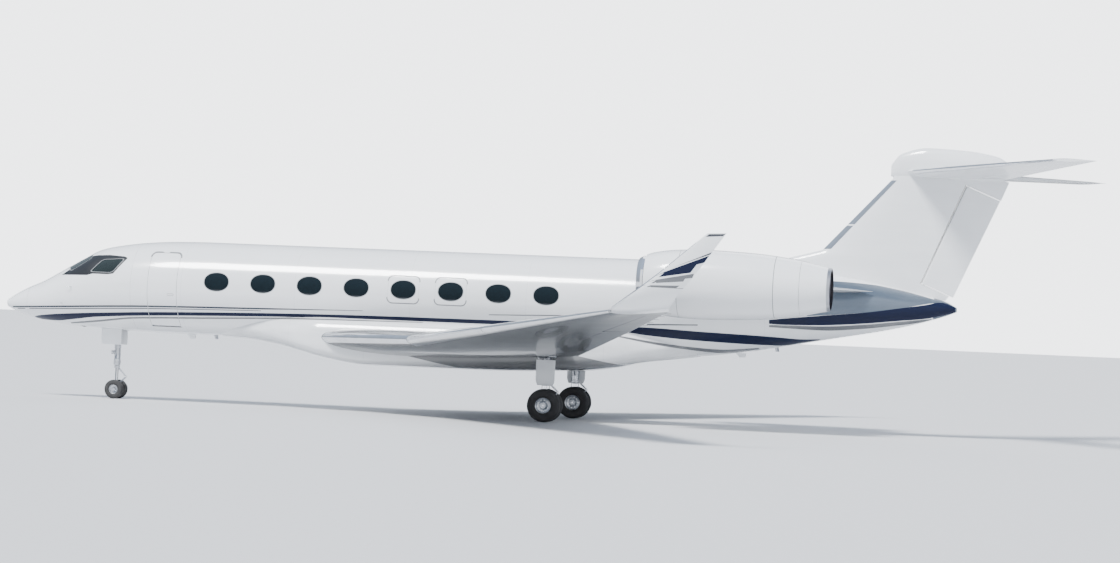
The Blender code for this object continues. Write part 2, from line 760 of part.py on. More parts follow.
def spoilers(side, word, finish):
    """Three panels on one hinge rod, let into the wing's upper surface."""
    (start, chord_in), (end, chord_out) = spoiler_panels(side)
    axis, aft, up = hinge_frame(start, end, UP)
    length = (end - start).length
    rod, deep = 0.010, 0.014
    rings = []

    def ring(place, chord, full):
        centre = start + axis * place
        if not full:
            arc = nose_arc(centre, rod, aft, up)
            return arc + [centre + (aft * 0.7 - up * 0.7) * rod, centre + (aft * 0.7 + up * 0.7) * rod]
        _, half = wing_point(WING, abs(centre.y), SPOILER_HINGE)
        drop = half - half_thickness(SPOILER_HINGE + chord * 0.17, between(WING, abs(centre.y))[4])
        tail = centre + aft * chord - up * drop
        return nose_arc(centre, deep, aft, up) + [tail - up * 0.002, tail + up * 0.010]

    bounds = [RUN, CLEAR]
    for k in (1, 2):
        bounds += [length * k / 3 - 0.02, length * k / 3 + 0.02]
    bounds += [length - CLEAR, length - RUN]
    rings.append(ring(bounds[0], chord_in, False))
    for k in range(1, len(bounds) - 2, 2):
        low, high = bounds[k], bounds[k + 1]
        chords = [mix(chord_in, chord_out, place / length) for place in (low, high)]
        rings += [
            ring(low, chords[0], False), ring(low, chords[0], True),
            ring(high, chords[1], True), ring(high, chords[1], False),
        ]
    rings.append(ring(bounds[-1], chord_out, False))
    loft("spoilers_" + word, rings, finish, smooth=True)


def spoiler_recess(side, finish):
    (start, chord_in), (end, chord_out) = spoiler_panels(side)
    axis, aft, up = hinge_frame(start, end, UP)
    rings = []
    for place, chord in ((start, chord_in), (end, chord_out)):
        corners = ((-0.024, -0.045), (chord + CLEAR, -0.060), (chord + CLEAR, 0.30), (-0.024, 0.30))
        rings.append([place + aft * a + up * u for a, u in corners])
    return loft("hole", rings, finish)


def wing(side, word, skin, moving):
    """A wing with its flap, aileron, spoilers and winglet."""
    rings = [
        section_ring((fx, side * y, fz), (rx, side * y, rz), UP, thick)
        for y, fx, fz, rx, rz, thick in WING
    ]
    panel = loft("wing_" + word, rings, skin, smooth=True)
    cuts = []
    for name, span, share in (("flap", FLAP_SPAN, FLAP_HINGE), ("aileron", AILERON_SPAN, AILERON_HINGE)):
        hinge, radii, trailing = wing_hinge(WING, span, share, side)
        hinged_surface(name + "_" + word, hinge, radii, trailing, UP, moving)
        cuts.append(surface_notch("hole", hinge, radii, trailing, UP, skin))
    spoilers(side, word, moving)
    cuts.append(spoiler_recess(side, skin))
    middle = side * MAIN_GEAR_Y
    cuts.append(box(
        "hole",
        (MAIN_GEAR_X - TRUNNION_HALF - 0.02, middle - 0.20, 1.0),
        (MAIN_GEAR_X + TRUNNION_HALF + 0.02, middle + 0.20, POCKET_ROOF),
        skin,
    ))
    for k, cut in enumerate(cuts):
        cut.name = "wing_cut_" + word + str(k)
        boolean(panel, cut)
    rings = []
    for front, rear, cant, thick in WINGLET:
        up = Vector((0, -side * math.sin(math.radians(cant)), math.cos(math.radians(cant))))
        rings.append(section_ring(mirrored(front, side), mirrored(rear, side), up, thick))
    for point in rings[0]:
        point.y += side * RUN
    loft("winglet_" + word, rings, skin, smooth=True)


def fin_and_rudder(skin):
    across = Vector((0, 1, 0))
    rings = [section_ring((front, 0, z), (rear, 0, z), across, thick) for z, front, rear, thick in FIN]
    fin = loft("vertical_fin", rings, skin, smooth=True)
    boolean(fin, body_solid("fin_seat", REAR_SEAM, BODY[-1][0], -SEAM, skin))
    hinge = [Vector(point) for point in RUDDER_HINGE]
    trailing = [Vector((rear, 0, z)) for z, _, rear, _ in (FIN[1], FIN[-1])]
    radii = (0.088, 0.078)
    hinged_surface("rudder", hinge, radii, trailing, across, skin)
    boolean(fin, surface_notch("rudder_notch", hinge, radii, trailing, across, skin))


def tailplane(skin, moving):
    """The tailplane with the fairing on top of the fin, and its two elevators."""
    rings = []
    for side, row in ((-1, 1), (1, 0), (1, 1)):
        y, fx, fz, rx, rz, thick = TAILPLANE[row]
        rings.append(section_ring((fx, side * y, fz), (rx, side * y, rz), UP, thick))
    plane = loft("stabilizer", rings, skin, smooth=True)
    rings = []
    for x, half, top, bottom in BULLET:
        middle, tall = (top + bottom) / 2, (top - bottom) / 2
        angles = [2 * math.pi * (k + 0.5) / 12 for k in range(12)]
        rings.append([Vector((x, half * math.sin(a), middle + tall * math.cos(a))) for a in angles])
    boolean(plane, loft("bullet_form", rings, skin), "UNION")
    cuts = []
    for side, word in ((-1, "left"), (1, "right")):
        hinge, radii, trailing = wing_hinge(TAILPLANE, ELEVATOR_SPAN, ELEVATOR_HINGE, side)
        hinged_surface("elevator_" + word, hinge, radii, trailing, UP, moving)
        cuts.append(surface_notch("hole", hinge, radii, trailing, UP, skin))
    cuts.append(box("hole", (9.0, -0.4, 6.0), (13.5, 0.4, FIN_TOP), skin))
    for k, cut in enumerate(cuts):
        cut.name = "tailplane_cut_" + str(k)
        boolean(plane, cut)


# Engines

def nacelle_solid(name, side, spread, finish):
    """The filled nacelle, for cutting the pylon to fit."""
    profile = [(x, radius + spread) for x, radius in NACELLE_OUTER]
    return turned(name, profile, (0, side * ENGINE_Y, ENGINE_Z), 0, ENGINE_SIDES, finish)


def engine(side, word, skin, dark):
    centre = (0.0, side * ENGINE_Y, ENGINE_Z)
    turned("nacelle_" + word, NACELLE_OUTER + NACELLE_INNER, centre, 0, ENGINE_SIDES, skin, closed=True)
    core_profile = (
        (FAN_X[1] + RUN, 0.07), (4.95, 0.07), (4.95, 0.24), (STRUT_X[0] - 0.05, CORE_RADIUS),
        (7.10, CORE_RADIUS), (7.70, 0.30), (8.25, 0.06),
    )
    core = turned("engine_core_" + word, core_profile, centre, 0, 16, dark)
    reach = DUCT_RADIUS * math.cos(math.pi / ENGINE_SIDES) - SEAM
    for k in range(4):
        inner, outer = 0.20, reach
        angle = math.pi / 2 * k
        out = Vector((0, math.cos(angle), math.sin(angle)))
        wide = Vector((0, -math.sin(angle), math.cos(angle)))
        rings = []
        for distance in (inner, outer):
            base = Vector(centre) + out * distance
            corners = ((STRUT_X[0], -0.02), (STRUT_X[1], -0.02), (STRUT_X[1], 0.02), (STRUT_X[0], 0.02))
            rings.append([base + Vector((x, 0, 0)) + wide * w for x, w in corners])
        boolean(core, loft("engine_strut_" + word + str(k), rings, dark), "UNION")
    fan(side, word, dark)


def fan(side, word, dark):
    """Spinner, hub and blades, grown as one mesh: every second face of the hub is a blade."""
    centre = Vector((0.0, side * ENGINE_Y, ENGINE_Z))
    count = 2 * FAN_BLADES
    hub_rings = ((3.98, 0.02), (4.10, 0.11), (FAN_X[0] - 0.02, FAN_HUB), (FAN_X[1], FAN_HUB))
    points, faces = [], []
    for x, radius in hub_rings:
        for k in range(count):
            angle = 2 * math.pi * k / count
            points.append(centre + Vector((x, radius * math.cos(angle), radius * math.sin(angle))))
    faces.append(tuple(range(count)))
    for i in range(len(hub_rings) - 1):
        for k in range(count):
            j = (k + 1) % count
            a, b = i * count, (i + 1) * count
            quad = (a + k, a + j, b + j, b + k)
            if i == len(hub_rings) - 2 and k % 2 == 0:
                start = len(points)
                twist = 2 * math.pi / count
                aft = FAN_X[1] - 0.01
                spots = ((FAN_X[0], 0.25), (FAN_X[0], 0.75), (aft, 1.15), (aft, 0.65))
                for x, share in spots:
                    angle = twist * (k + share)
                    tip = Vector((x, FAN_RADIUS * math.cos(angle), FAN_RADIUS * math.sin(angle)))
                    points.append(centre + tip)
                for n in range(4):
                    m = (n + 1) % 4
                    faces.append((quad[n], quad[m], start + m, start + n))
                faces.append((start, start + 1, start + 2, start + 3))
            else:
                faces.append(quad)
    last = (len(hub_rings) - 1) * count
    faces.append(tuple(range(last, last + count)))
    add_object("fan_" + word, points, faces, dark)


def pylon(side, word, skin):
    """The strut between the fuselage and a nacelle, cut to fit both."""
    rings = [
        section_ring((front, side * y, PYLON_Z), (rear, side * y, PYLON_Z), UP, thick)
        for y, front, rear, thick in PYLON
    ]
    strut = loft("pylon_" + word, rings, skin, smooth=True)
    boolean(strut, body_solid("pylon_body_" + word, REAR_SEAM, BODY[-1][0], -SEAM, skin))
    boolean(strut, nacelle_solid("pylon_nacelle_" + word, side, SEAM + 0.0004, skin))


# Landing gear

def tyre(name, size, centre, finish):
    radius, half, rim = size
    flat = math.cos(math.pi / WHEEL_SIDES)
    seat = rim + RUN
    profile = (
        (-half * 0.72, seat), (-half, mix(seat, radius, 0.40)), (-half * 0.93, mix(seat, radius, 0.78)),
        (-half * 0.45, radius), (half * 0.45, radius), (half * 0.93, mix(seat, radius, 0.78)),
        (half, mix(seat, radius, 0.40)), (half * 0.72, seat),
    )
    profile = [(along, r / flat) for along, r in profile]
    turned(name, profile, centre, 1, WHEEL_SIDES, finish, closed=True)


def hub_face(size, track):
    """How far from the leg's middle the inner face of a rim lies."""
    return track - size[1] * 0.78


def hubs(name, size, track, shaft, centre, finish):
    """Two rims on one axle shaft."""
    _, half, rim = size
    flat = math.cos(math.pi / WHEEL_SIDES)
    profile = []
    for end in (-1, 1):
        part = [
            (end * (track + half * 0.86), rim * 0.40), (end * (track + half * 0.78), rim),
            (end * hub_face(size, track), rim), (end * hub_face(size, track), shaft),
        ]
        profile += part if end < 0 else part[::-1]
    profile = [(along, r / flat) for along, r in profile]
    turned(name, profile, centre, 1, WHEEL_SIDES, finish)


def gear_wheels(prefix, tyre_names, size, track, shaft, centre, metal, rubber):
    hubs(prefix, size, track, shaft, centre, metal)
    for end, name in zip((-1, 1), tyre_names):
        tyre(name, size, (centre[0], centre[1] + end * track, centre[2]), rubber)


def axle_block(name, centre, half, shaft, metal):
    """The end of a leg, bored for the axle shaft."""
    low = [c - h for c, h in zip(centre, half)]
    high = [c + h for c, h in zip(centre, half)]
    block = box(name, low, high, metal)
    bore = [(-half[1] - 0.05, shaft * 1.06 + RUN), (half[1] + 0.05, shaft * 1.06 + RUN)]
    return block, turned(name + "_bore", bore, centre, 1, 16, metal)


def nose_well(roof, skin):
    """The open bay for the nose leg, with the two doors that stay down beside it."""
    well = box("nose_wheel_well", (WELL_X[0], -WELL_HALF, 1.99), (WELL_X[1], WELL_HALF, roof), skin)
    room_low = (WELL_X[0] + WELL_WALL, -WELL_HALF + WELL_WALL, 1.0)
    room_high = (WELL_X[1] - WELL_WALL, WELL_HALF - WELL_WALL, roof - WELL_WALL)
    boolean(well, box("well_space", room_low, room_high, skin))
    for side, word in ((-1, "left"), (1, "right")):
        low, high = sorted((side * WELL_HALF, side * (WELL_HALF - WELL_WALL)))
        door = box("well_door_" + word, (-12.30, low, 1.52), (-11.72, high, 2.10), skin)
        boolean(well, door, "UNION")


def nose_gear(metal, skin, rubber):
    axle_z = NOSE_TYRE[0]
    roof = FLOOR_TOP - FLOOR_THICK - RUN
    nose_well(roof, skin)
    top = roof - WELL_WALL - RUN
    wide, slim, foot = 0.13, 0.085, 0.10
    leg_profile = (
        (NOSE_LEG_BOTTOM, foot), (1.08, foot), (1.10, slim),
        (top - 0.08, slim), (top - 0.06, wide), (top, wide),
    )
    leg = turned("nose_gear_leg", leg_profile, (NOSE_GEAR_X, 0, 0), 2, 16, metal)
    corners = ((-0.03, -0.035), (0.03, -0.035), (0.03, 0.03), (-0.03, 0.03))
    rings = []
    for x, z in ((NOSE_GEAR_X, 1.45), (-12.62, top - 0.03)):
        rings.append([Vector((x, y, z + lift)) for y, lift in corners])
    boolean(leg, loft("nose_brace", rings, metal), "UNION")
    half = (0.055, hub_face(NOSE_TYRE, NOSE_TRACK) - RUN, 0.075)
    axle = (NOSE_GEAR_X, 0, axle_z)
    fork, bore = axle_block("nose_gear_fork", axle, half, NOSE_SHAFT, metal)
    piston_profile = ((axle_z + 0.05, 0.05), (NOSE_LEG_BOTTOM - RUN, 0.05))
    boolean(fork, turned("nose_piston", piston_profile, (NOSE_GEAR_X, 0, 0), 2, 14, metal), "UNION")
    near, far = NOSE_GEAR_X + 0.03, NOSE_GEAR_X + 0.31
    link = prism(
        "nose_torque_link",
        ((near, 0.93), (near, 0.86), (far - 0.06, 0.60), (near, 0.40), (near, 0.33), (far, 0.60)),
        1, -0.035, 0.035, metal,
    )
    boolean(fork, link, "UNION")
    boolean(fork, bore)
    names = ("nose_tyre_left", "nose_tyre_right")
    gear_wheels("nose_wheel_hubs", names, NOSE_TYRE, NOSE_TRACK, NOSE_SHAFT, axle, metal, rubber)


def main_gear(side, word, metal, skin, rubber):
    axle_z, x, y = MAIN_TYRE[0], MAIN_GEAR_X, side * MAIN_GEAR_Y
    axle = (x, y, axle_z)
    half = (0.10, hub_face(MAIN_TYRE, MAIN_TRACK) - RUN, 0.11)
    leg, bore = axle_block("main_gear_leg_" + word, axle, half, MAIN_SHAFT, metal)
    top = POCKET_ROOF - RUN
    slim, wide = 0.045, 0.085
    profile = ((axle_z + 0.06, slim), (0.98, slim), (1.0, wide), (top - 0.05, wide))
    boolean(leg, turned("main_cylinder_" + word, profile, (x, y, 0), 2, 14, metal), "UNION")
    beam_low = (x - TRUNNION_HALF, y - 0.07, top - 0.13)
    beam_high = (x + TRUNNION_HALF, y + 0.07, top)
    boolean(leg, box("main_trunnion_" + word, beam_low, beam_high, metal), "UNION")
    near, far = x + 0.02, x + 0.38
    link = prism(
        "main_torque_link_" + word,
        ((near, 1.16), (near, 1.06), (far - 0.08, 0.80), (near, 0.56), (near, 0.46), (far, 0.80)),
        1, y - 0.03, y + 0.03, metal,
    )
    boolean(leg, link, "UNION")
    low, high = sorted((y + side * 0.115, y + side * 0.135))
    door = box("main_leg_door_" + word, (x - 0.26, low, 0.98), (x + 0.26, high, 1.66), skin)
    boolean(leg, door, "UNION")
    low, high = sorted((y, y + side * 0.130))
    bracket = box("main_door_bracket_" + word, (x - 0.03, low, 1.30), (x + 0.03, high, 1.38), metal)
    boolean(leg, bracket, "UNION")
    boolean(leg, bore)
    names = ("main_tyre_" + word + "_a", "main_tyre_" + word + "_b")
    gear_wheels("main_hubs_" + word, names, MAIN_TYRE, MAIN_TRACK, MAIN_SHAFT, axle, metal, rubber)


def build():
    clear_scene()
    white = material("white_paint", (0.82, 0.84, 0.86), 0.12)
    silver = material("polished_metal", (0.72, 0.74, 0.77), 0.18, 1.0)
    gear_metal = material("gear_metal", (0.62, 0.64, 0.66), 0.35, 0.8)
    glass = material("dark_glass", (0.03, 0.05, 0.08), 0.05)
    rubber = material("rubber", (0.03, 0.03, 0.035), 0.75)
    lining = material("cabin_lining", (0.55, 0.50, 0.43), 0.7)
    leather = material("seat_leather", (0.62, 0.53, 0.42), 0.5)
    dark = material("engine_metal", (0.30, 0.31, 0.33), 0.35, 0.9)

    radome(white)
    nose_section(white)
    flight_deck_windows(glass)
    cabin_shell(white)
    exit_hatches(white)
    for side, word in ((-1, "left"), (1, "right")):
        window_row(side, word, glass)
        wing(side, word, white, white)
        engine(side, word, white, dark)
        pylon(side, word, white)
        main_gear(side, word, gear_metal, white, rubber)
    entry_door(white)
    rear_fuselage(white)
    tail_cone(silver)
    belly_fairing(white)
    cabin_floor(lining)
    cockpit_bulkhead(lining)
    aft_bulkhead(lining)
    seats(leather)
    instrument_panel(dark)
    fin_and_rudder(white)
    tailplane(white, white)
    nose_gear(gear_metal, white, rubber)


build()
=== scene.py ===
"""Looks of the business jet: skins, paint, glass, cabin, engines and landing gear round the fixed frame."""
import math

import bmesh
import bpy
from mathutils import Matrix, Vector
from mathutils.bvhtree import BVHTree


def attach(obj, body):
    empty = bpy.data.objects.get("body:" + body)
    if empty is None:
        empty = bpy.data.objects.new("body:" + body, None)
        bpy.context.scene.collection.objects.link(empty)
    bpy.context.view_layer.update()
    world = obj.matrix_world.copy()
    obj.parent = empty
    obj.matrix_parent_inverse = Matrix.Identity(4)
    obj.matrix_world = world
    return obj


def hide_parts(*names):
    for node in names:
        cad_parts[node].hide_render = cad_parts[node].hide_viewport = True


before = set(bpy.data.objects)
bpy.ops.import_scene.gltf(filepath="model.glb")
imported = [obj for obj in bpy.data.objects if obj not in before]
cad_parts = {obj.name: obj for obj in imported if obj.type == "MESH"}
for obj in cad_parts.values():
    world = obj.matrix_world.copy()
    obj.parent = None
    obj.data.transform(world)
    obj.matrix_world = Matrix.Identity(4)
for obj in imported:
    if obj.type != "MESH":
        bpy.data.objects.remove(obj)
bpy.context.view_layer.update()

UP = Vector((0, 0, 1))
ACROSS = Vector((0, 1, 0))
SIDES = ((-1, "left"), (1, "right"))
ROOT = "airframe"

# Fuselage: station, half width, top, bottom
BODY = (
    (-15.205, 0.06, 2.63, 2.51),
    (-15.12, 0.17, 2.70, 2.44),
    (-14.94, 0.30, 2.82, 2.35),
    (-14.60, 0.47, 3.01, 2.24),
    (-14.07, 0.68, 3.25, 2.12),
    (-13.55, 0.84, 3.55, 2.04),
    (-12.86, 1.02, 3.95, 1.97),
    (-12.43, 1.12, 4.17, 1.94),
    (-11.99, 1.20, 4.28, 1.93),
    (-11.11, 1.31, 4.41, 1.91),
    (-10.24, 1.36, 4.47, 1.90),
    (-9.20, 1.375, 4.49, 1.90),
    (4.20, 1.375, 4.49, 1.90),
    (5.97, 1.30, 4.46, 2.10),
    (7.19, 1.15, 4.38, 2.34),
    (8.40, 0.94, 4.25, 2.58),
    (9.60, 0.68, 4.04, 2.82),
    (10.40, 0.47, 3.86, 3.02),
    (11.19, 0.24, 3.68, 3.27),
    (11.51, 0.08, 3.52, 3.40),
)
RADOME_SEAM, NOSE_SEAM, REAR_SEAM, TAIL_SEAM = -14.45, -11.20, 3.40, 10.90
NOSE_X, TAIL_X = BODY[0][0], BODY[-1][0]
WALL = 0.08
SEAM = 0.003             # half of a joint between skin panels

# Openings
WINDOW_FIRST, WINDOW_PITCH, WINDOW_COUNT, WINDOW_Z = -8.71, 1.322, 8, 3.385
WINDOW_HALF = (0.3555, 0.26)
HATCH_WINDOWS = {"front": 4, "rear": 5}
HATCH_HALF = (0.43, 0.36)
CORNER = 0.13
CORNER_STEPS = 8
TOP_POINTS = 2 * (CORNER_STEPS + 1)
DOOR_X, DOOR_Z = (-10.69, -9.85), (2.12, 4.13)

# Belly fairing: station, half width, bottom
FAIRING = (
    (-8.80, 0.55, 1.885),
    (-7.90, 0.95, 1.83),
    (-7.06, 1.25, 1.72),
    (-6.20, 1.50, 1.53),
    (-5.70, 1.60, 1.42),
    (-4.46, 1.60, 1.26),
    (-1.48, 1.60, 1.27),
    (1.45, 1.60, 1.38),
    (2.30, 1.45, 1.50),
    (3.10, 1.20, 1.68),
    (3.93, 0.95, 1.80),
    (4.60, 0.60, 1.90),
)

# Wing: spanwise station, leading edge x and z, trailing edge x and z, thickness
WING = (
    (1.6003, -5.60, 2.00, 1.39, 1.78, 0.68),
    (4.00, -2.66, 2.06, 2.25, 1.92, 0.52),
    (14.00, 4.43, 3.02, 5.83, 3.06, 0.135),
)
FLAP_SPAN, FLAP_HINGE = (2.90, 9.50), 0.78
AILERON_SPAN, AILERON_HINGE = (9.85, 13.45), 0.76
SPOILER_SPAN, SPOILER_HINGE, SPOILER_CHORD = (4.60, 9.20), 0.64, (0.42, 0.22)
CLEAR = 0.012
# Winglet: leading edge, trailing edge, cant in degrees, thickness
WINGLET = (
    ((4.43, 14.0, 3.02), (5.83, 14.0, 3.06), 0, 0.135),
    ((4.58, 14.45, 3.11), (5.92, 14.45, 3.15), 18, 0.125),
    ((4.96, 14.78, 3.37), (6.12, 14.80, 3.41), 50, 0.110),
    ((5.58, 14.96, 3.83), (6.50, 14.98, 3.86), 74, 0.085),
    ((6.80, 15.12, 4.86), (7.25, 15.177, 4.88), 82, 0.030),
)

# Fin: height, leading edge, trailing edge, thickness
FIN = (
    (3.70, 7.60, 11.20, 0.30),
    (4.30, 6.90, 11.62, 0.34),
    (4.62, 6.70, 11.80, 0.34),
    (4.94, 7.84, 11.96, 0.34),
    (6.9296, 9.66, 12.77, 0.30),
)
RUDDER_HINGE = ((10.60, 0.0, 4.10), (11.70, 0.0, 6.78))
# Tailplane: spanwise station, leading edge x and z, trailing edge x and z, thickness
TAILPLANE = (
    (0.0, 9.95, 7.13, 12.74, 7.02, 0.24),
    (6.00, 14.17, 7.26, 15.205, 7.27, 0.10),
)
ELEVATOR_SPAN, ELEVATOR_HINGE = (0.48, 5.80), 0.70
# Fairing on top of the fin: station, half width, top, bottom
BULLET = (
    (9.60, 0.04, 7.30, 7.00),
    (9.86, 0.14, 7.60, 6.90),
    (10.60, 0.21, 7.783, 6.86),
    (11.60, 0.20, 7.74, 6.86),
    (12.45, 0.11, 7.60, 6.90),
    (12.72, 0.04, 7.45, 7.02),
)
FIN_TOP = 6.93

# Engines
ENGINE_Y, ENGINE_Z = 2.75, 3.84
NACELLE_OUTER = (
    (3.30, 0.565), (3.34, 0.66), (3.62, 0.785), (4.30, 0.89), (5.00, 0.915),
    (6.20, 0.88), (7.40, 0.76), (8.40, 0.56),
)
NACELLE_INNER = (
    (3.30, 0.585), (3.36, 0.552), (3.62, 0.545), (4.30, 0.655), (4.95, 0.74), (5.80, 0.74), (7.50, 0.65),
    (8.40, 0.53),
)
LIP_END, NOZZLE_START = 3.50, 7.62
FAN_X, FAN_RADIUS, FAN_HUB, FAN_BLADES = (4.28, 4.42), 0.62, 0.20, 24
CORE_RADIUS = 0.38
PYLON = ((0.70, 4.45, 9.30, 0.34), (2.20, 4.75, 8.00, 0.28))
PYLON_Z = 3.86

# Landing gear
NOSE_GEAR_X, NOSE_TYRE, NOSE_TRACK = -11.90, (0.2665, 0.092, 0.125), 0.19
MAIN_GEAR_X, MAIN_GEAR_Y, MAIN_TYRE, MAIN_TRACK = 0.80, 2.20, (0.445, 0.14, 0.215), 0.20
NOSE_LEG_BOTTOM = 0.95
WELL_X, WELL_HALF = (-12.90, -11.65), 0.28
POCKET_ROOF = 1.84
FLOOR_TOP = 2.36


# Reading the shape tables

def mix(a, b, share):
    return a + (b - a) * share


def straight(rows, key):
    """Straight-line reading of a table whose first column rises."""
    for low, high in zip(rows, rows[1:]):
        if key <= high[0]:
            break
    share = (key - low[0]) / (high[0] - low[0])
    return [mix(a, b, share) for a, b in zip(low[1:], high[1:])]


def smooth_column(keys, values):
    """A monotone cubic through one column of a table."""
    slopes = [(b - a) / (q - p) for a, b, p, q in zip(values, values[1:], keys, keys[1:])]
    tangents = [slopes[0]]
    for left, right in zip(slopes, slopes[1:]):
        tangents.append(0.0 if left * right <= 0 else 2 * left * right / (left + right))
    tangents.append(slopes[-1])

    def read(key):
        i = 0
        while i < len(keys) - 2 and key > keys[i + 1]:
            i += 1
        span = keys[i + 1] - keys[i]
        t = min(max((key - keys[i]) / span, 0.0), 1.0)
        h = 2 * t ** 3 - 3 * t ** 2 + 1
        k = t ** 3 - 2 * t ** 2 + t
        m = t ** 3 - t ** 2
        return h * values[i] + k * span * tangents[i] + (1 - h) * values[i + 1] + m * span * tangents[i + 1]
    return read


def smooth_table(rows):
    keys = [row[0] for row in rows]
    columns = [smooth_column(keys, [row[c] for row in rows]) for c in range(1, len(rows[0]))]
    return lambda key: [column(key) for column in columns]


body_at = smooth_table(BODY)
fairing_at = smooth_table(FAIRING)
bullet_at = smooth_table(BULLET)


def spaced(start, end, step):
    """Even stations from start to end, no further apart than the step."""
    count = max(1, math.ceil(abs(end - start) / step))
    return [mix(start, end, k / count) for k in range(count + 1)]


def mirrored(point, side):
    return Vector((point[0], side * point[1], point[2]))


# Making and finishing meshes

def bare_object(name, points, faces, finish, slots=()):
    mesh = bpy.data.meshes.new(name)
    mesh.from_pydata([tuple(p) for p in points], [], faces)
    for material in (finish, *slots):
        mesh.materials.append(material)
    obj = bpy.data.objects.new(name, mesh)
    bpy.context.scene.collection.objects.link(obj)
    face_out(obj)
    return obj


def face_out(obj):
    """Merges doubles and turns every face outwards."""
    form = bmesh.new()
    form.from_mesh(obj.data)
    bmesh.ops.remove_doubles(form, verts=form.verts, dist=1e-5)
    bmesh.ops.recalc_face_normals(form, faces=form.faces)
    form.to_mesh(obj.data)
    form.free()


def ring_faces(count_rings, count, closed_rings=False, ends=True, base=0):
    """Quads that wrap a stack of rings, with flat ends."""
    faces = []
    for i in range(count_rings if closed_rings else count_rings - 1):
        a, b = base + i * count, base + (i + 1) % count_rings * count
        faces += [(a + k, a + (k + 1) % count, b + (k + 1) % count, b + k) for k in range(count)]
    if ends and not closed_rings:
        last = base + (count_rings - 1) * count
        faces += [tuple(range(base, base + count))[::-1], tuple(range(last, last + count))]
    return faces


def loft(name, rings, finish, slots=(), closed_rings=False):
    count = len(rings[0])
    points = [point for ring in rings for point in ring]
    return bare_object(name, points, ring_faces(len(rings), count, closed_rings), finish, slots)


def sheet_of(name, rows, finish):
    """An open patch from rows of points."""
    wide = len(rows[0])
    points = [point for row in rows for point in row]
    faces = [
        (i * wide + k, i * wide + k + 1, (i + 1) * wide + k + 1, (i + 1) * wide + k)
        for i in range(len(rows) - 1) for k in range(wide - 1)
    ]
    return bare_object(name, points, faces, finish)


def turned(name, profile, centre, axis, sides, finish, closed=False, slots=()):
    """A profile of (along, radius) turned about a line along one axis."""
    rings = []
    for along, radius in profile:
        ring = []
        for k in range(sides):
            angle = 2 * math.pi * k / sides
            u, v = radius * math.cos(angle), radius * math.sin(angle)
            spot = {0: (along, u, v), 1: (v, along, u), 2: (u, v, along)}[axis]
            ring.append(Vector(centre) + Vector(spot))
        rings.append(ring)
    return loft(name, rings, finish, slots, closed_rings=closed)


def prism(name, outline, axis, low, high, finish, slots=()):
    """An outline pushed along one axis, its two coordinates being the other axes in order."""
    rings = []
    for level in (low, high):
        ring = []
        for a, b in outline:
            ring.append(Vector({0: (level, a, b), 1: (a, level, b), 2: (a, b, level)}[axis]))
        rings.append(ring)
    return loft(name, rings, finish, slots)


def block(name, low, high, finish, rounding=0.0):
    outline = [(low[0], low[1]), (high[0], low[1]), (high[0], high[1]), (low[0], high[1])]
    obj = prism(name, outline, 2, low[2], high[2], finish)
    if rounding:
        bevelled(obj, rounding)
    return obj


def tube(name, path, radius, finish, sides=12):
    """A round bar along a path of points."""
    path = [Vector(point) for point in path]
    rings = []
    for i, point in enumerate(path):
        along = (path[min(i + 1, len(path) - 1)] - path[max(i - 1, 0)]).normalized()
        first = along.cross(UP if abs(along.z) < 0.9 else ACROSS).normalized()
        second = along.cross(first)
        size = radius[i] if isinstance(radius, (list, tuple)) else radius
        rings.append([
            point + (first * math.cos(t) + second * math.sin(t)) * size
            for t in (2 * math.pi * k / sides for k in range(sides))
        ])
    return loft(name, rings, finish)


def modified(obj, kind, **values):
    """Adds one modifier and bakes it into the mesh."""
    change = obj.modifiers.new(kind.title(), kind)
    for key, value in values.items():
        setattr(change, key, value)
    bake(obj)
    return obj


def bake(obj):
    scope = bpy.context.evaluated_depsgraph_get()
    mesh = bpy.data.meshes.new_from_object(obj.evaluated_get(scope), depsgraph=scope)
    old = obj.data
    obj.modifiers.clear()
    obj.data = mesh
    mesh.name = obj.name
    bpy.data.meshes.remove(old)


def bevelled(obj, width, segments=2):
    return modified(
        obj, "BEVEL", width=width, segments=segments, limit_method="ANGLE", angle_limit=math.radians(40)
    )


def boolean(obj, other, operation="DIFFERENCE", keep=False):
    change = obj.modifiers.new("Cut", "BOOLEAN")
    change.operation, change.object, change.solver = operation, other, "EXACT"
    change.material_mode = "INDEX"
    bake(obj)
    if not keep:
        bpy.data.objects.remove(other)
    return obj


def joined(name, objects):
    """Several objects of the same material slots as one."""
    form = bmesh.new()
    for obj in objects:
        form.from_mesh(obj.data)
    mesh = objects[0].data.copy()
    mesh.name = name
    form.to_mesh(mesh)
    form.free()
    whole = bpy.data.objects.new(name, mesh)
    bpy.context.scene.collection.objects.link(whole)
    for obj in objects:
        bpy.data.objects.remove(obj)
    return whole


def copy_of(obj, name):
    twin = bpy.data.objects.new(name, obj.data.copy())
    twin.data.name = name
    bpy.context.scene.collection.objects.link(twin)
    return twin


def smoothed(obj, angle=32.0):
    """Smooth shading with sharp edges where faces turn by more than the angle."""
    form = bmesh.new()
    form.from_mesh(obj.data)
    bmesh.ops.dissolve_degenerate(form, edges=form.edges, dist=1e-6)
    for face in form.faces:
        face.smooth = True
    limit = math.radians(angle)
    for edge in form.edges:
        edge.smooth = len(edge.link_faces) == 2 and edge.calc_face_angle(math.pi) < limit
    form.to_mesh(obj.data)
    form.free()
    return obj


FITTED = {}


def fit(obj, body=ROOT, stands_for=(), angle=32.0):
    """The last step of every piece: shading, the body it rides on and what it stands for."""
    smoothed(obj, angle)
    FITTED[obj.name.split(".")[0]] = obj
    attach(obj, body)
    if stands_for:
        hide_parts(*([stands_for] if isinstance(stands_for, str) else stands_for))
    return obj


# Shader building

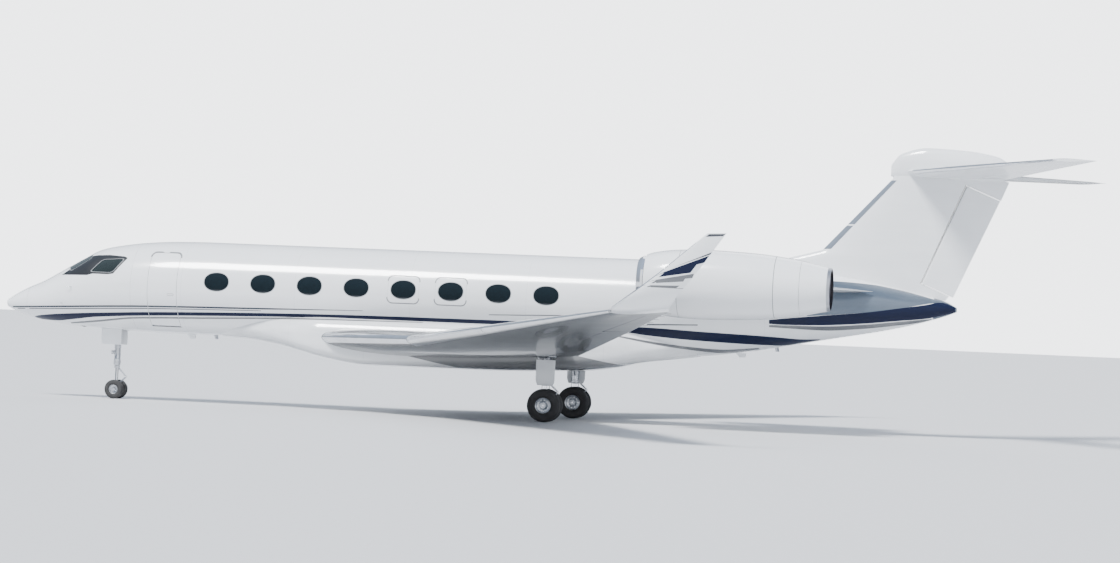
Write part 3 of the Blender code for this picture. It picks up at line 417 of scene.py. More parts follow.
def add(tree, kind, settings=None, **inputs):
    """A node with its settings and inputs; a socket given as an input is linked, and _0, _1 go by place."""
    node = tree.nodes.new(kind)
    for key, value in (settings or {}).items():
        setattr(node, key, value)
    for key, value in inputs.items():
        socket = node.inputs[int(key[1:]) if key[0] == "_" else key.replace("_", " ")]
        if isinstance(value, bpy.types.NodeSocket):
            tree.links.new(value, socket)
        else:
            socket.default_value = value
    return node


def worked(tree, operation, *values):
    """The result of one maths node."""
    inputs = {"_" + str(k): value for k, value in enumerate(values)}
    return add(tree, "ShaderNodeMath", {"operation": operation}, **inputs).outputs[0]


def shader_group(name, inputs, outputs):
    tree = bpy.data.node_groups.new(name, "ShaderNodeTree")
    for key, value in inputs.items():
        socket = tree.interface.new_socket(key, in_out="INPUT", socket_type="NodeSocketFloat")
        socket.default_value = value
    for key in outputs:
        tree.interface.new_socket(key, in_out="OUTPUT", socket_type="NodeSocketFloat")
    return tree, add(tree, "NodeGroupInput").outputs, add(tree, "NodeGroupOutput")


def streak_group():
    """Faint dirt drawn out along the airflow."""
    tree, given, out = shader_group(
        "airflow_streaks", {"Scale": 3.0, "Stretch": 0.12, "Amount": 0.5}, ["Mask", "Height"]
    )
    place = add(tree, "ShaderNodeTexCoord").outputs["Object"]
    parts = add(tree, "ShaderNodeSeparateXYZ", Vector=place).outputs
    drawn = worked(tree, "MULTIPLY", parts["X"], given["Stretch"])
    vector = add(tree, "ShaderNodeCombineXYZ", X=drawn, Y=parts["Y"], Z=parts["Z"]).outputs[0]
    noise = add(tree, "ShaderNodeTexNoise", Vector=vector, Scale=given["Scale"], Detail=6.0, Roughness=0.6)
    fine = add(tree, "ShaderNodeTexNoise", Vector=place, Scale=60.0, Detail=3.0)
    soft = add(tree, "ShaderNodeMapRange", Value=noise.outputs["Fac"], From_Min=0.42, From_Max=0.78)
    scaled = worked(tree, "MULTIPLY", soft.outputs[0], given["Amount"])
    tree.links.new(scaled, out.inputs["Mask"])
    tree.links.new(fine.outputs["Fac"], out.inputs["Height"])
    return tree


def seam_group():
    """Thin joints between skin panels at even stations, with a row of flush rivets beside each."""
    tree, given, out = shader_group(
        "panel_joints", {"Pitch": 1.6, "Width": 0.004, "Offset": 0.0, "Rivet Pitch": 0.06},
        ["Joint", "Rivet"],
    )
    place = add(tree, "ShaderNodeTexCoord").outputs["Object"]
    parts = add(tree, "ShaderNodeSeparateXYZ", Vector=place).outputs
    moved = worked(tree, "ADD", parts["X"], given["Offset"])
    beat = worked(tree, "PINGPONG", moved, given["Pitch"])
    joint = worked(tree, "LESS_THAN", beat, given["Width"])
    row = worked(tree, "COMPARE", beat, 0.022, 0.003)
    run = worked(tree, "PINGPONG", parts["Z"], given["Rivet Pitch"])
    spot = worked(tree, "LESS_THAN", run, 0.003)
    rivet = worked(tree, "MULTIPLY", row, spot)
    tree.links.new(joint, out.inputs["Joint"])
    tree.links.new(rivet, out.inputs["Rivet"])
    return tree


def grain_group():
    """Fine uneven grain for rubber, leather, moulded plastic and cast metal."""
    tree, given, out = shader_group("fine_grain", {"Scale": 120.0, "Depth": 0.5}, ["Mask", "Height"])
    place = add(tree, "ShaderNodeTexCoord").outputs["Object"]
    cells = add(tree, "ShaderNodeTexVoronoi", Vector=place, Scale=given["Scale"])
    cloud = add(tree, "ShaderNodeTexNoise", Vector=place, Scale=7.0, Detail=5.0)
    deep = worked(tree, "MULTIPLY", cells.outputs["Distance"], given["Depth"])
    tree.links.new(cloud.outputs["Fac"], out.inputs["Mask"])
    tree.links.new(deep, out.inputs["Height"])
    return tree


STREAKS, JOINTS, GRAIN = streak_group(), seam_group(), grain_group()


def placed(tree, group, **values):
    node = tree.nodes.new("ShaderNodeGroup")
    node.node_tree = group
    for key, value in values.items():
        node.inputs[key.replace("_", " ")].default_value = value
    return node.outputs


def blank_material(name, **values):
    material = bpy.data.materials.new(name)
    material.use_nodes = True
    tree = material.node_tree
    body = tree.nodes["Principled BSDF"]
    for key, value in values.items():
        socket = body.inputs[key.replace("_", " ")]
        socket.default_value = (*value, 1.0) if isinstance(value, tuple) and len(value) == 3 else value
    material.diffuse_color = (*values.get("Base_Color", (0.8, 0.8, 0.8)), 1.0)
    return material, tree, body


def blended(tree, mask, first, second):
    node = add(tree, "ShaderNodeMix", {"data_type": "RGBA"})
    tree.links.new(mask, node.inputs["Factor"])
    node.inputs["A"].default_value = (*first, 1.0)
    node.inputs["B"].default_value = (*second, 1.0)
    return node.outputs["Result"]


def ranged(tree, value, low, high):
    return add(tree, "ShaderNodeMapRange", Value=value, To_Min=low, To_Max=high).outputs[0]


def bumped(tree, body, height, strength, distance):
    bump = add(tree, "ShaderNodeBump", Height=height, Strength=strength, Distance=distance)
    tree.links.new(bump.outputs[0], body.inputs["Normal"])


def painted(
    name, colour, dirt_colour, dirt=0.35, joints=None, metallic=0.0, roughness=(0.16, 0.30), coat=0.55,
    shine=0.5
):
    """Glossy paint under a clear coat, with airflow streaks and, on skins, the joints between panels."""
    material, tree, body = blank_material(
        name, Base_Color=colour, Metallic=metallic, Coat_Weight=coat, Coat_Roughness=0.04,
        Specular_IOR_Level=shine,
    )
    streak = placed(tree, STREAKS, Amount=dirt)
    shade = blended(tree, streak["Mask"], colour, dirt_colour)
    height = streak["Height"]
    if joints:
        lines = placed(tree, JOINTS, Pitch=joints)
        dark = add(tree, "ShaderNodeMix", {"data_type": "RGBA", "blend_type": "MULTIPLY"})
        both = worked(tree, "ADD", lines["Joint"], lines["Rivet"])
        faint = worked(tree, "MULTIPLY", both, 0.30)
        tree.links.new(faint, dark.inputs["Factor"])
        tree.links.new(shade, dark.inputs["A"])
        dark.inputs["B"].default_value = (0.45, 0.47, 0.50, 1.0)
        shade = dark.outputs["Result"]
    tree.links.new(shade, body.inputs["Base Color"])
    tree.links.new(ranged(tree, streak["Mask"], *roughness), body.inputs["Roughness"])
    bumped(tree, body, height, 0.02, 0.0004)
    return material


def metal(name, colour, stain, roughness, stretch=0.12, scale=4.0, amount=0.8, grain=0.04):
    """Bare metal with streaked staining and an uneven polish."""
    material, tree, body = blank_material(name, Base_Color=colour, Metallic=1.0)
    streak = placed(tree, STREAKS, Scale=scale, Stretch=stretch, Amount=amount)
    tree.links.new(blended(tree, streak["Mask"], colour, stain), body.inputs["Base Color"])
    tree.links.new(ranged(tree, streak["Mask"], *roughness), body.inputs["Roughness"])
    bumped(tree, body, streak["Height"], grain, 0.0005)
    return material


def soft_finish(name, colour, second, roughness, scale, depth, bump, distance, **more):
    """Grained material: rubber, leather, plastic, lining or carpet."""
    material, tree, body = blank_material(name, Base_Color=colour, **more)
    grain = placed(tree, GRAIN, Scale=scale, Depth=depth)
    tree.links.new(blended(tree, grain["Mask"], colour, second), body.inputs["Base Color"])
    tree.links.new(ranged(tree, grain["Mask"], *roughness), body.inputs["Roughness"])
    bumped(tree, body, grain["Height"], bump, distance)
    return material


def tinted_glass(name, colour, deep, transmission, rim=0.5):
    """A tinted pane: its colour is painted lighter towards glancing angles, a painted reflection, and deepens
    where it is seen square on.
    """
    material, tree, body = blank_material(
        name, Base_Color=colour, Roughness=0.03, IOR=1.5, Transmission_Weight=transmission,
        Specular_IOR_Level=0.35,
    )
    # Painted reflection: the lighter colour takes over as the pane turns away from view.
    edge = add(tree, "ShaderNodeLayerWeight", Blend=rim)
    tree.links.new(blended(tree, edge.outputs["Facing"], deep, colour), body.inputs["Base Color"])
    return material


def lit_screen(name, colour):
    """A display showing plain bands and ticks."""
    material, tree, body = blank_material(
        name, Base_Color=(0.01, 0.012, 0.015), Roughness=0.12, Emission_Strength=0.6
    )
    place = add(tree, "ShaderNodeTexCoord").outputs["Object"]
    wave = add(tree, "ShaderNodeTexWave", {"bands_direction": "Z"}, Vector=place, Scale=9.0, Distortion=0.4)
    step = worked(tree, "GREATER_THAN", wave.outputs["Fac"], 0.62)
    tree.links.new(
        blended(tree, step, (0.004, 0.008, 0.012), colour), body.inputs["Emission Color"]
    )
    return material


WHITE = painted("white_paint", (0.86, 0.875, 0.89), (0.66, 0.68, 0.70), 0.22)
SKIN_WHITE = painted("white_paint_panels", (0.86, 0.875, 0.89), (0.66, 0.68, 0.70), 0.22, joints=1.62)
BELLY_WHITE_AND_SHADE = painted("white_paint_belly", (0.80, 0.815, 0.83), (0.50, 0.51, 0.52), 0.45, joints=1.10)


def grey_between(material, grey, borders):
    """Paints what lies between straight borders grey, a patch of painted shade; a border is a point, a slope
    and the side the patch lies on.
    """
    tree = material.node_tree
    body = tree.nodes["Principled BSDF"]
    place = add(tree, "ShaderNodeSeparateXYZ", Vector=add(tree, "ShaderNodeTexCoord").outputs["Object"])
    masks = []
    for (x, z), slope, way in borders:
        line = worked(tree, "MULTIPLY_ADD", place.outputs["X"], slope, z - slope * x)
        above = worked(tree, "SUBTRACT", place.outputs["Z"], line)
        sharp = add(
            tree, "ShaderNodeMapRange", Value=above, From_Min=-0.004 * way, From_Max=0.004 * way
        )
        masks.append(sharp.outputs[0])
    whole = masks[0]
    for mask in masks[1:]:
        whole = worked(tree, "MULTIPLY", whole, mask)
    mixed = add(tree, "ShaderNodeMix", {"data_type": "RGBA"})
    tree.links.new(whole, mixed.inputs["Factor"])
    tree.links.new(body.inputs["Base Color"].links[0].from_socket, mixed.inputs["A"])
    mixed.inputs["B"].default_value = (*grey, 1.0)
    tree.links.new(mixed.outputs["Result"], body.inputs["Base Color"])


# The grey patch low on the belly fairing under the wing is painted shade.
BELLY_SHADE_BORDERS = (((-4.14, 1.779), -0.197, 1), ((1.454, 1.81), -0.186, -1), ((0.0, 1.93), 0.0, -1))
grey_between(BELLY_WHITE_AND_SHADE, (0.20, 0.205, 0.21), BELLY_SHADE_BORDERS)
# Wing paint: the wings' light grey darkened far below its own tone to stand in for the shade on their
# undersides; painted shade, on the flaps, ailerons and spoilers too.
WING_GREY_AND_SHADE = painted("grey_paint_wing", (0.13, 0.135, 0.14), (0.09, 0.095, 0.10), 0.4, joints=0.81, coat=0.3)
NAVY = painted(
    "navy_stripe", (0.003, 0.007, 0.030), (0.008, 0.013, 0.030), 0.3, roughness=(0.34, 0.46), coat=0.0,
    shine=0.2
)
GREY_STRIPE = painted("grey_stripe", (0.15, 0.155, 0.165), (0.22, 0.225, 0.23), 0.4, metallic=0.3, coat=0.2)
DARK_STRIPE = painted(
    "dark_grey_stripe", (0.045, 0.050, 0.062), (0.09, 0.095, 0.10), 0.4, metallic=0.2, coat=0.1
)
STEEL_BLUE = painted("steel_blue_paint", (0.10, 0.13, 0.17), (0.16, 0.18, 0.21), 0.4, metallic=0.4, coat=0.3)
DARK_TRIM = painted(
    "windshield_surround", (0.006, 0.007, 0.009), (0.012, 0.013, 0.015), 0.3, roughness=(0.35, 0.5),
    coat=0.04
)
POLISHED = metal("polished_edge", (0.82, 0.83, 0.85), (0.60, 0.62, 0.66), (0.10, 0.24), amount=0.6)
NOZZLE = metal("nozzle_metal", (0.42, 0.43, 0.46), (0.22, 0.22, 0.25), (0.30, 0.48), scale=2.5)
HOT_METAL = metal(
    "heat_stained_metal", (0.20, 0.20, 0.23), (0.15, 0.11, 0.09), (0.34, 0.55), stretch=0.5, scale=6.0
)
FAN_METAL = metal("fan_blade_metal", (0.50, 0.52, 0.56), (0.32, 0.33, 0.36), (0.22, 0.40), scale=9.0)
STEEL = metal("gear_steel", (0.62, 0.64, 0.67), (0.42, 0.42, 0.43), (0.26, 0.46), stretch=1.0, scale=9.0)
CHROME = metal(
    "polished_piston", (0.88, 0.89, 0.90), (0.72, 0.73, 0.75), (0.05, 0.14), stretch=1.0, scale=14.0,
    amount=0.4
)
RUBBER = soft_finish(
    "tyre_rubber", (0.018, 0.018, 0.020), (0.045, 0.044, 0.043), (0.62, 0.86), 260.0, 0.4, 0.25, 0.0006
)
SEAL = soft_finish(
    "grey_seal", (0.16, 0.17, 0.18), (0.24, 0.25, 0.26), (0.45, 0.65), 300.0, 0.3, 0.1, 0.0004
)
# Near-black finish: painted shade inside the nose wheel well, the engine ducts and the louvre slots; the
# static wicks' own dark colour.
DARK_AND_CAVITY_SHADE = soft_finish(
    "dark_cavity", (0.03, 0.031, 0.034), (0.06, 0.06, 0.062), (0.5, 0.75), 90.0, 0.4, 0.15, 0.001
)
LINING = soft_finish(
    "cabin_lining_cream", (0.74, 0.71, 0.66), (0.66, 0.63, 0.57), (0.55, 0.75), 420.0, 0.3, 0.12, 0.0005
)
CARPET = soft_finish(
    "cabin_carpet", (0.20, 0.22, 0.27), (0.13, 0.15, 0.19), (0.85, 0.98), 700.0, 1.0, 0.7, 0.003
)
LEATHER = soft_finish(
    "seat_leather_tan", (0.60, 0.52, 0.42), (0.50, 0.42, 0.33), (0.38, 0.56), 340.0, 0.6, 0.3, 0.0009
)
PLASTIC = soft_finish(
    "panel_plastic_grey", (0.10, 0.105, 0.115), (0.15, 0.155, 0.165), (0.5, 0.7), 500.0, 0.4, 0.2, 0.0004
)
WOOD_TRIM = soft_finish(
    "dark_wood_trim", (0.16, 0.075, 0.035), (0.09, 0.04, 0.02), (0.15, 0.28), 14.0, 0.5, 0.1, 0.0004,
    Coat_Weight=0.5
)
CABIN_GLASS = tinted_glass("cabin_window_glass", (0.030, 0.050, 0.060), (0.004, 0.010, 0.014), 0.22)
SCREEN_GLASS = tinted_glass("windshield_glass", (0.060, 0.080, 0.080), (0.008, 0.014, 0.014), 0.35)
LAMP_GLASS = tinted_glass("lamp_glass", (0.85, 0.88, 0.90), (0.6, 0.64, 0.68), 0.7)
DISPLAY = lit_screen("flight_display", (0.05, 0.35, 0.55))
FLOOR_PAINT = soft_finish(
    "studio_floor_paint", (0.62, 0.625, 0.63), (0.58, 0.585, 0.60), (0.6, 0.8), 3.0, 0.2, 0.02, 0.001
)
SHELL_SLOTS = (LINING, SEAL)


# Fuselage

RING = 96
NOSE_ROUND = -15.12
WINDOW_EDGE = 48


def body_ring(x, inset=0.0, count=RING):
    half, top, bottom = body_at(max(x, NOSE_ROUND))
    scale = 1.0
    if x < NOSE_ROUND:
        scale = math.sqrt(max(0.0, 1 - ((NOSE_ROUND - x) / (NOSE_ROUND - NOSE_X + 1e-4)) ** 2))
    wide = max((half - inset) * scale, 0.004)
    tall = max(((top - bottom) / 2 - inset) * scale, 0.004)
    middle = (top + bottom) / 2
    angles = [2 * math.pi * (k + 0.5) / count for k in range(count)]
    return [Vector((x, wide * math.sin(a), middle + tall * math.cos(a))) for a in angles]


def body_stations(start, end):
    step = 0.09 if end < -11 or start > 10 else 0.22
    stations = spaced(start, end, step)
    if start < NOSE_ROUND:
        stations = [
            start, start + 0.006, start + 0.02, start + 0.04, start + 0.062
        ] + spaced(NOSE_ROUND, end, step)
    return stations


def body_width(x, z, out=0.0):
    """How far the skin, moved out by a little, lies from the middle at this height."""
    half, top, bottom = body_at(x)
    tall, middle = (top - bottom) / 2 + out, (top + bottom) / 2
    share = 1 - ((z - middle) / tall) ** 2
    return (half + out) * math.sqrt(max(share, 0.0))


def on_body(x, z, side, out=0.0):
    return Vector((x, side * body_width(x, z, out), z))


def body_shell(name, start, end, finish, outer=0.0, inner=WALL):
    """A piece of the fuselage wall: painted outside, lined inside, sealed at its ends."""
    stations = body_stations(start, end)
    rings = [body_ring(x, outer) for x in stations] + [body_ring(x, inner) for x in reversed(stations)]
    shell = loft(name, rings, finish, SHELL_SLOTS, closed_rings=True)
    outside = (outer + inner) / 2
    for face in shell.data.polygons:
        x, y, z = face.center
        flat = abs(face.normal.x) > 0.9 and min(abs(x - start), abs(x - end)) < 1e-4
        within = abs(y) < body_width(x, z, -outside)
        face.material_index = 2 if flat else 1 if within else 0
    return shell


def body_solid(name, start, end, inset):
    return loft(name, [body_ring(x, inset) for x in body_stations(start, end)], SEAL)


def rounded_rectangle(centre, half, radius, steps=CORNER_STEPS):
    outline = []
    for corner, (sx, sy) in enumerate(((1, 1), (-1, 1), (-1, -1), (1, -1))):
        for k in range(steps + 1):
            angle = math.pi / 2 * (corner + k / steps)
            outline.append((
                centre[0] + sx * (half[0] - radius) + radius * math.cos(angle),
                centre[1] + sy * (half[1] - radius) + radius * math.sin(angle),
            ))
    return outline


def window_x(index):
    return WINDOW_FIRST + WINDOW_PITCH * index


def window_outline(centre_x, spread=0.0):
    outline = []
    for k in range(WINDOW_EDGE):
        angle = 2 * math.pi * (k + 0.5) / WINDOW_EDGE
        reach = [math.copysign(abs(value) ** 0.92, value) for value in (math.cos(angle), math.sin(angle))]
        wide, tall = WINDOW_HALF[0] + spread, WINDOW_HALF[1] + spread
        outline.append((centre_x + wide * reach[0], WINDOW_Z + tall * reach[1]))
    return outline


def hatch_outline(index, gap=0.0):
    return rounded_rectangle((window_x(index), WINDOW_Z), (HATCH_HALF[0] + gap, HATCH_HALF[1] + gap), CORNER)


def door_outline(gap=0.0, sill=0.0):
    """Square at the sill, where the hinge is, and round at the top."""
    centre = ((DOOR_X[0] + DOOR_X[1]) / 2, (DOOR_Z[0] + DOOR_Z[1]) / 2)
    half = ((DOOR_X[1] - DOOR_X[0]) / 2 + gap, (DOOR_Z[1] - DOOR_Z[0]) / 2 + gap)
    top = rounded_rectangle(centre, half, CORNER)[:TOP_POINTS]
    return top + [(DOOR_X[0] - gap, DOOR_Z[0] - sill), (DOOR_X[1] + gap, DOOR_Z[0] - sill)]


def side_cutter(name, outline, side, low=0.30, high=1.9):
    """A prism out through one side of the fuselage; what it cuts is edged with seal."""
    low, high = sorted((side * low, side * high))
    cutter = prism(name, outline, 1, low, high, SEAL, (SEAL, SEAL))
    for face in cutter.data.polygons:
        face.material_index = 2
    return cutter


def top_cutter(name, outline, low, high):
    cutter = prism(name, outline, 2, low, high, SEAL, (SEAL, SEAL))
    for face in cutter.data.polygons:
        face.material_index = 2
    return cutter


def nose_and_radome():
    rings = [body_ring(x) for x in body_stations(NOSE_X, RADOME_SEAM - SEAM)]
    fit(loft("radome", rings, WHITE), stands_for="radome")
    nose = body_shell("nose_section", RADOME_SEAM + SEAM, NOSE_SEAM - SEAM / 2, WHITE)
    holes = []
    for side, _ in SIDES:
        holes += [pane_cutter("windshield", side, 0.0), pane_cutter("side_window", side, 0.0)]
    for hole in holes:
        boolean(nose, hole)
    well = block("wheel_bay_hole", (WELL_X[0], -WELL_HALF, 1.5), (WELL_X[1], WELL_HALF, 2.3), SEAL)
    boolean(nose, well)
    fit(nose, stands_for="nose_section", angle=38)


# Windshield and side panes: corners seen from above for the first, from the side for the second
PANES = {
    "windshield": (2, ((-13.40, -0.05), (-13.17, -0.68), (-12.55, -0.66), (-12.66, -0.05)), (3.1, 4.5)),
    "side_window": (1, ((-12.50, 3.52), (-12.17, 3.89), (-11.47, 3.94), (-11.78, 3.52)), (0.5, 1.6)),
}
SURROUND = (
    (-13.44, 3.41), (-12.98, 3.75), (-12.60, 3.965), (-12.40, 4.00), (-12.0, 4.02), (-11.50, 3.99),
    (-11.41, 3.95), (-11.45, 3.89), (-11.75, 3.50), (-11.90, 3.475), (-12.40, 3.475), (-12.55, 3.43),
)


def round_corners(outline, share=0.16):
    """Each corner of an outline eased by a short curve."""
    eased = []
    for i, corner in enumerate(outline):
        before, after = outline[i - 1], outline[(i + 1) % len(outline)]
        start = [mix(c, b, share) for c, b in zip(corner, before)]
        end = [mix(c, a, share) for c, a in zip(corner, after)]
        for t in (0.0, 0.25, 0.5, 0.75, 1.0):
            eased.append(tuple(
                (1 - t) ** 2 * s + 2 * t * (1 - t) * c + t ** 2 * e for s, c, e in zip(start, corner, end)
            ))
    return eased


def pane_outline(which, shrink):
    corners = PANES[which][1]
    middle = [sum(corner[i] for corner in corners) / len(corners) for i in (0, 1)]
    size = min(math.dist(corner, middle) for corner in corners) * 0.7
    return round_corners([[mix(corner[i], middle[i], shrink / size) for i in (0, 1)] for corner in corners])


def pane_cutter(which, side, shrink):
    axis, _, reach = PANES[which]
    outline = pane_outline(which, shrink)
    if axis == 2:
        return top_cutter("pane_edge", [(x, -side * y) for x, y in outline], *reach)
    return side_cutter("pane_edge", outline, side, *reach)


def flight_deck_windows():
    """Panes with a heated film, in a dark surround with a grey seal round each."""
    surround = body_shell("windshield_surround", -13.6, NOSE_SEAM - 0.1, DARK_TRIM, -0.0025, 0.004)
    boolean(surround, side_cutter("surround_edge", SURROUND, 1, -1.9, 1.9), "INTERSECT")
    for which in PANES:
        for side, word in SIDES:
            boolean(surround, pane_cutter(which, side, 0.0))
            name = which + "_" + word
            pane = body_shell(name, -13.7, NOSE_SEAM - 0.1, SCREEN_GLASS, 0.006, 0.028)
            boolean(pane, pane_cutter(which, side, 0.006), "INTERSECT")
            single(pane, SCREEN_GLASS)
            fit(pane, stands_for=name)
            rim = body_shell("pane_seal_" + name, -13.7, NOSE_SEAM - 0.1, SEAL, -0.0015, 0.030)
            boolean(rim, pane_cutter(which, side, 0.0), "INTERSECT")
            boolean(rim, pane_cutter(which, side, 0.012))
            single(rim, SEAL)
            fit(rim)
    single(surround, DARK_TRIM)
    fit(surround)


def single(obj, finish):
    """One material over the whole piece."""
    obj.data.materials.clear()
    obj.data.materials.append(finish)
    for face in obj.data.polygons:
        face.material_index = 0
    return obj


def cabin_shell():
    shell = body_shell("cabin_shell", NOSE_SEAM + SEAM / 2, REAR_SEAM - SEAM / 2, SKIN_WHITE)
    blank = copy_of(shell, "wall_blank")
    for side, word in SIDES:
        cuts = []
        for index in range(WINDOW_COUNT):
            if index not in HATCH_WINDOWS.values():
                cuts.append(side_cutter("window", window_outline(window_x(index)), side))
        for index in HATCH_WINDOWS.values():
            cuts.append(side_cutter("hatch", hatch_outline(index, SEAM), side))
        if side < 0:
            cuts.append(side_cutter("door", door_outline(0.008, 0.035), side))
        boolean(shell, joined("openings_" + word, cuts))
        for which, index in HATCH_WINDOWS.items():
            name = "exit_hatch_" + word + "_" + which
            hatch = copy_of(blank, name)
            boolean(hatch, side_cutter("edge", hatch_outline(index), side), "INTERSECT")
            boolean(hatch, side_cutter("window", window_outline(window_x(index)), side))
            fit(hatch, stands_for=name)
            edge_line("hatch_outline_" + word + "_" + which, hatch_outline(index, 0.004), side, 0.024)
        for index in range(WINDOW_COUNT):
            window(side, word, index)
    door = copy_of(blank, "entry_door")
    boolean(door, side_cutter("edge", door_outline(), -1), "INTERSECT")
    fit(door, "entry_door", "entry_door")
    edge_line(
        "door_outline", door_outline(0.010, 0.0)[:TOP_POINTS], -1, 0.030, closed=False, feet=DOOR_Z[0] - 0.03
    )
    bpy.data.objects.remove(blank)
    fit(shell, stands_for="cabin_shell", angle=38)


def edge_line(name, outline, side, wide, closed=True, feet=None, finish=None, body=ROOT):
    """A flush grey line round an opening: the painted edge of a hatch or door."""
    if feet is not None:
        outline = [(outline[0][0], feet)] + list(outline) + [(outline[-1][0], feet)]
    rows = []
    count = len(outline)
    for i, (x, z) in enumerate(outline):
        before = outline[i - 1 if closed or i else 0]
        after = outline[(i + 1) % count if closed or i < count - 1 else i]
        along = Vector((after[0] - before[0], after[1] - before[1])).normalized()
        outward = Vector((along.y, -along.x)) * wide
        rows.append([on_body(x, z, side, 0.0022), on_body(x + outward.x, z + outward.y, side, 0.0022)])
    if closed:
        rows.append(rows[0])
    strip = sheet_of(name, rows, finish or SEAL)
    return fit(thickened(strip, 0.003), body, angle=60)


def thickened(obj, depth):
    """Gives a thin sheet its depth, inwards."""
    for face in obj.data.polygons[:1]:
        outward = face.center - Vector((face.center.x, 0, body_middle(face.center.x)))
        if face.normal.dot(outward) < 0:
            obj.data.flip_normals()
    return modified(obj, "SOLIDIFY", thickness=depth, offset=-1)


def body_middle(x):
    _, top, bottom = body_at(min(max(x, NOSE_X), TAIL_X))
    return (top + bottom) / 2


def window(side, word, index):
    """A cabin window: curved outer pane, seal ring and the lower edge of its drawn-up shade."""
    name = "cabin_window_" + word + "_" + str(index + 1)
    rows = []
    for share in (0.0, 0.35, 0.7, 0.9, 0.985):
        outline = window_outline(0.0)
        rows.append([
            on_body(window_x(index) + share * x, WINDOW_Z + share * (z - WINDOW_Z), side, -0.007)
            for x, z in outline
        ])
    points = [rows[0][0]] + [point for row in rows[1:] for point in row]
    faces = [(0, 1 + k, 1 + (k + 1) % WINDOW_EDGE) for k in range(WINDOW_EDGE)]
    for i in range(3):
        a, b = 1 + i * WINDOW_EDGE, 1 + (i + 1) * WINDOW_EDGE
        faces += [
            (a + k, b + k, b + (k + 1) % WINDOW_EDGE, a + (k + 1) % WINDOW_EDGE) for k in range(WINDOW_EDGE)
        ]
    pane = thickened(bare_object(name, points, faces, CABIN_GLASS), 0.008)
    fit(pane)
    edge_line(
        "window_seal_" + word + "_" + str(index + 1), window_outline(window_x(index), -0.012), side, 0.016
    )
    shade_rows = [
        [on_body(window_x(index) + x, z, side, -0.045) for x in (-0.37, -0.2, 0.0, 0.2, 0.37)]
        for z in (3.66, 3.63, 3.60)
    ]
    shade = thickened(sheet_of("window_shade_" + word + "_" + str(index + 1), shade_rows, LINING), 0.006)
    fit(shade)


def tail():
    rear = body_shell("rear_fuselage", REAR_SEAM + SEAM / 2, TAIL_SEAM - SEAM / 2, SKIN_WHITE, 0.0, 0.05)
    fit(rear, stands_for="rear_fuselage")
    rings = [body_ring(x) for x in body_stations(TAIL_SEAM + SEAM / 2, TAIL_X)]
    fit(loft("tail_cone", rings, STEEL_BLUE), stands_for="tail_cone")


def belly():
    """The fairing round the wing's root, its edges eased into the fuselage."""
    rings = []
    for x in spaced(FAIRING[0][0], FAIRING[-1][0], 0.16):
        half, bottom = fairing_at(x)
        low = bottom + 0.30 * min(1.0, half)
        high = mix(low + 0.06, 2.15, min(max((half - 0.9) / 0.3, 0.0), 1.0))
        high = max(high, low + 0.06)
        shape = [
            (0.0, bottom - 0.004), (0.30 * half, bottom), (0.74 * half, bottom + 0.04),
            (half - 0.06, bottom + 0.16), (half, low), (half, high), (0.90 * half, high + 0.30),
            (0.62 * half, high + 0.46),
        ]
        right = [Vector((x, y, z)) for y, z in shape]
        left = [Vector((x, -y, z)) for y, z in reversed(shape[1:])]
        rings.append(eased_ring(right + left, 3))
    fairing = loft("belly_fairing", rings, BELLY_WHITE_AND_SHADE)
    boolean(fairing, body_solid("fairing_seat", NOSE_SEAM, TAIL_SEAM, 0.03))
    fit(fairing, stands_for="belly_fairing")


def eased_ring(ring, rounds):
    """Corner cutting: each pass replaces every corner by two points near it."""
    for _ in range(rounds):
        ring = [
            point for a, b in zip(ring, ring[1:] + ring[:1])
            for point in (a.lerp(b, 0.22), a.lerp(b, 0.78))
        ]
    return ring


# Wings and tail

TRAILING_HALF = 0.003
EDGE_PROUD = 0.0015       # how far a polished cuff stands out of the skin under it
AIRFOIL = [(1 - math.cos(math.pi * k / 26)) / 2 for k in range(27)]
RUN = 0.0003


def half_thickness(share, thickness):
    """Half the depth of the section at a share of the chord."""
    s = share
    curve = 0.2969 * math.sqrt(s) - 0.126 * s - 0.3516 * s ** 2 + 0.2843 * s ** 3 - 0.1036 * s ** 4
    return max(5 * thickness * curve, TRAILING_HALF)


def section_ring(front, rear, up, thickness):
    """An airfoil between its two edges, deep along the up direction."""
    front, rear, up = Vector(front), Vector(rear), Vector(up)
    upper = [front.lerp(rear, s) + up * half_thickness(s, thickness) for s in AIRFOIL]
    lower = [front.lerp(rear, s) - up * half_thickness(s, thickness) for s in AIRFOIL[1:]]
    upper[0] = front
    return upper + lower[::-1]


def wing_point(rows, y, share):
    """A point on the mean surface of a wing or tailplane and its half depth there."""
    front_x, front_z, rear_x, rear_z, thickness = straight(rows, y)
    point = Vector((mix(front_x, rear_x, share), y, mix(front_z, rear_z, share)))
    return point, half_thickness(share, thickness)


def in_plane(point, axis, line):
    start, along = line[0], line[1] - line[0]
    return start + along * ((point - start).dot(axis) / along.dot(axis))


def hinge_frame(start, end, up):
    """Axis, aft and up directions of a hinge line."""
    axis = (end - start).normalized()
    aft = axis.cross(up).normalized()
    if aft.x < 0:
        aft = -aft
    upward = aft.cross(axis)
    return axis, aft, upward if upward.dot(up) > 0 else -upward


def nose_arc(centre, radius, aft, up, steps=16):
    angles = [math.radians(90 + 180 * k / steps) for k in range(steps + 1)]
    return [centre + aft * radius * math.cos(a) + up * radius * math.sin(a) for a in angles]


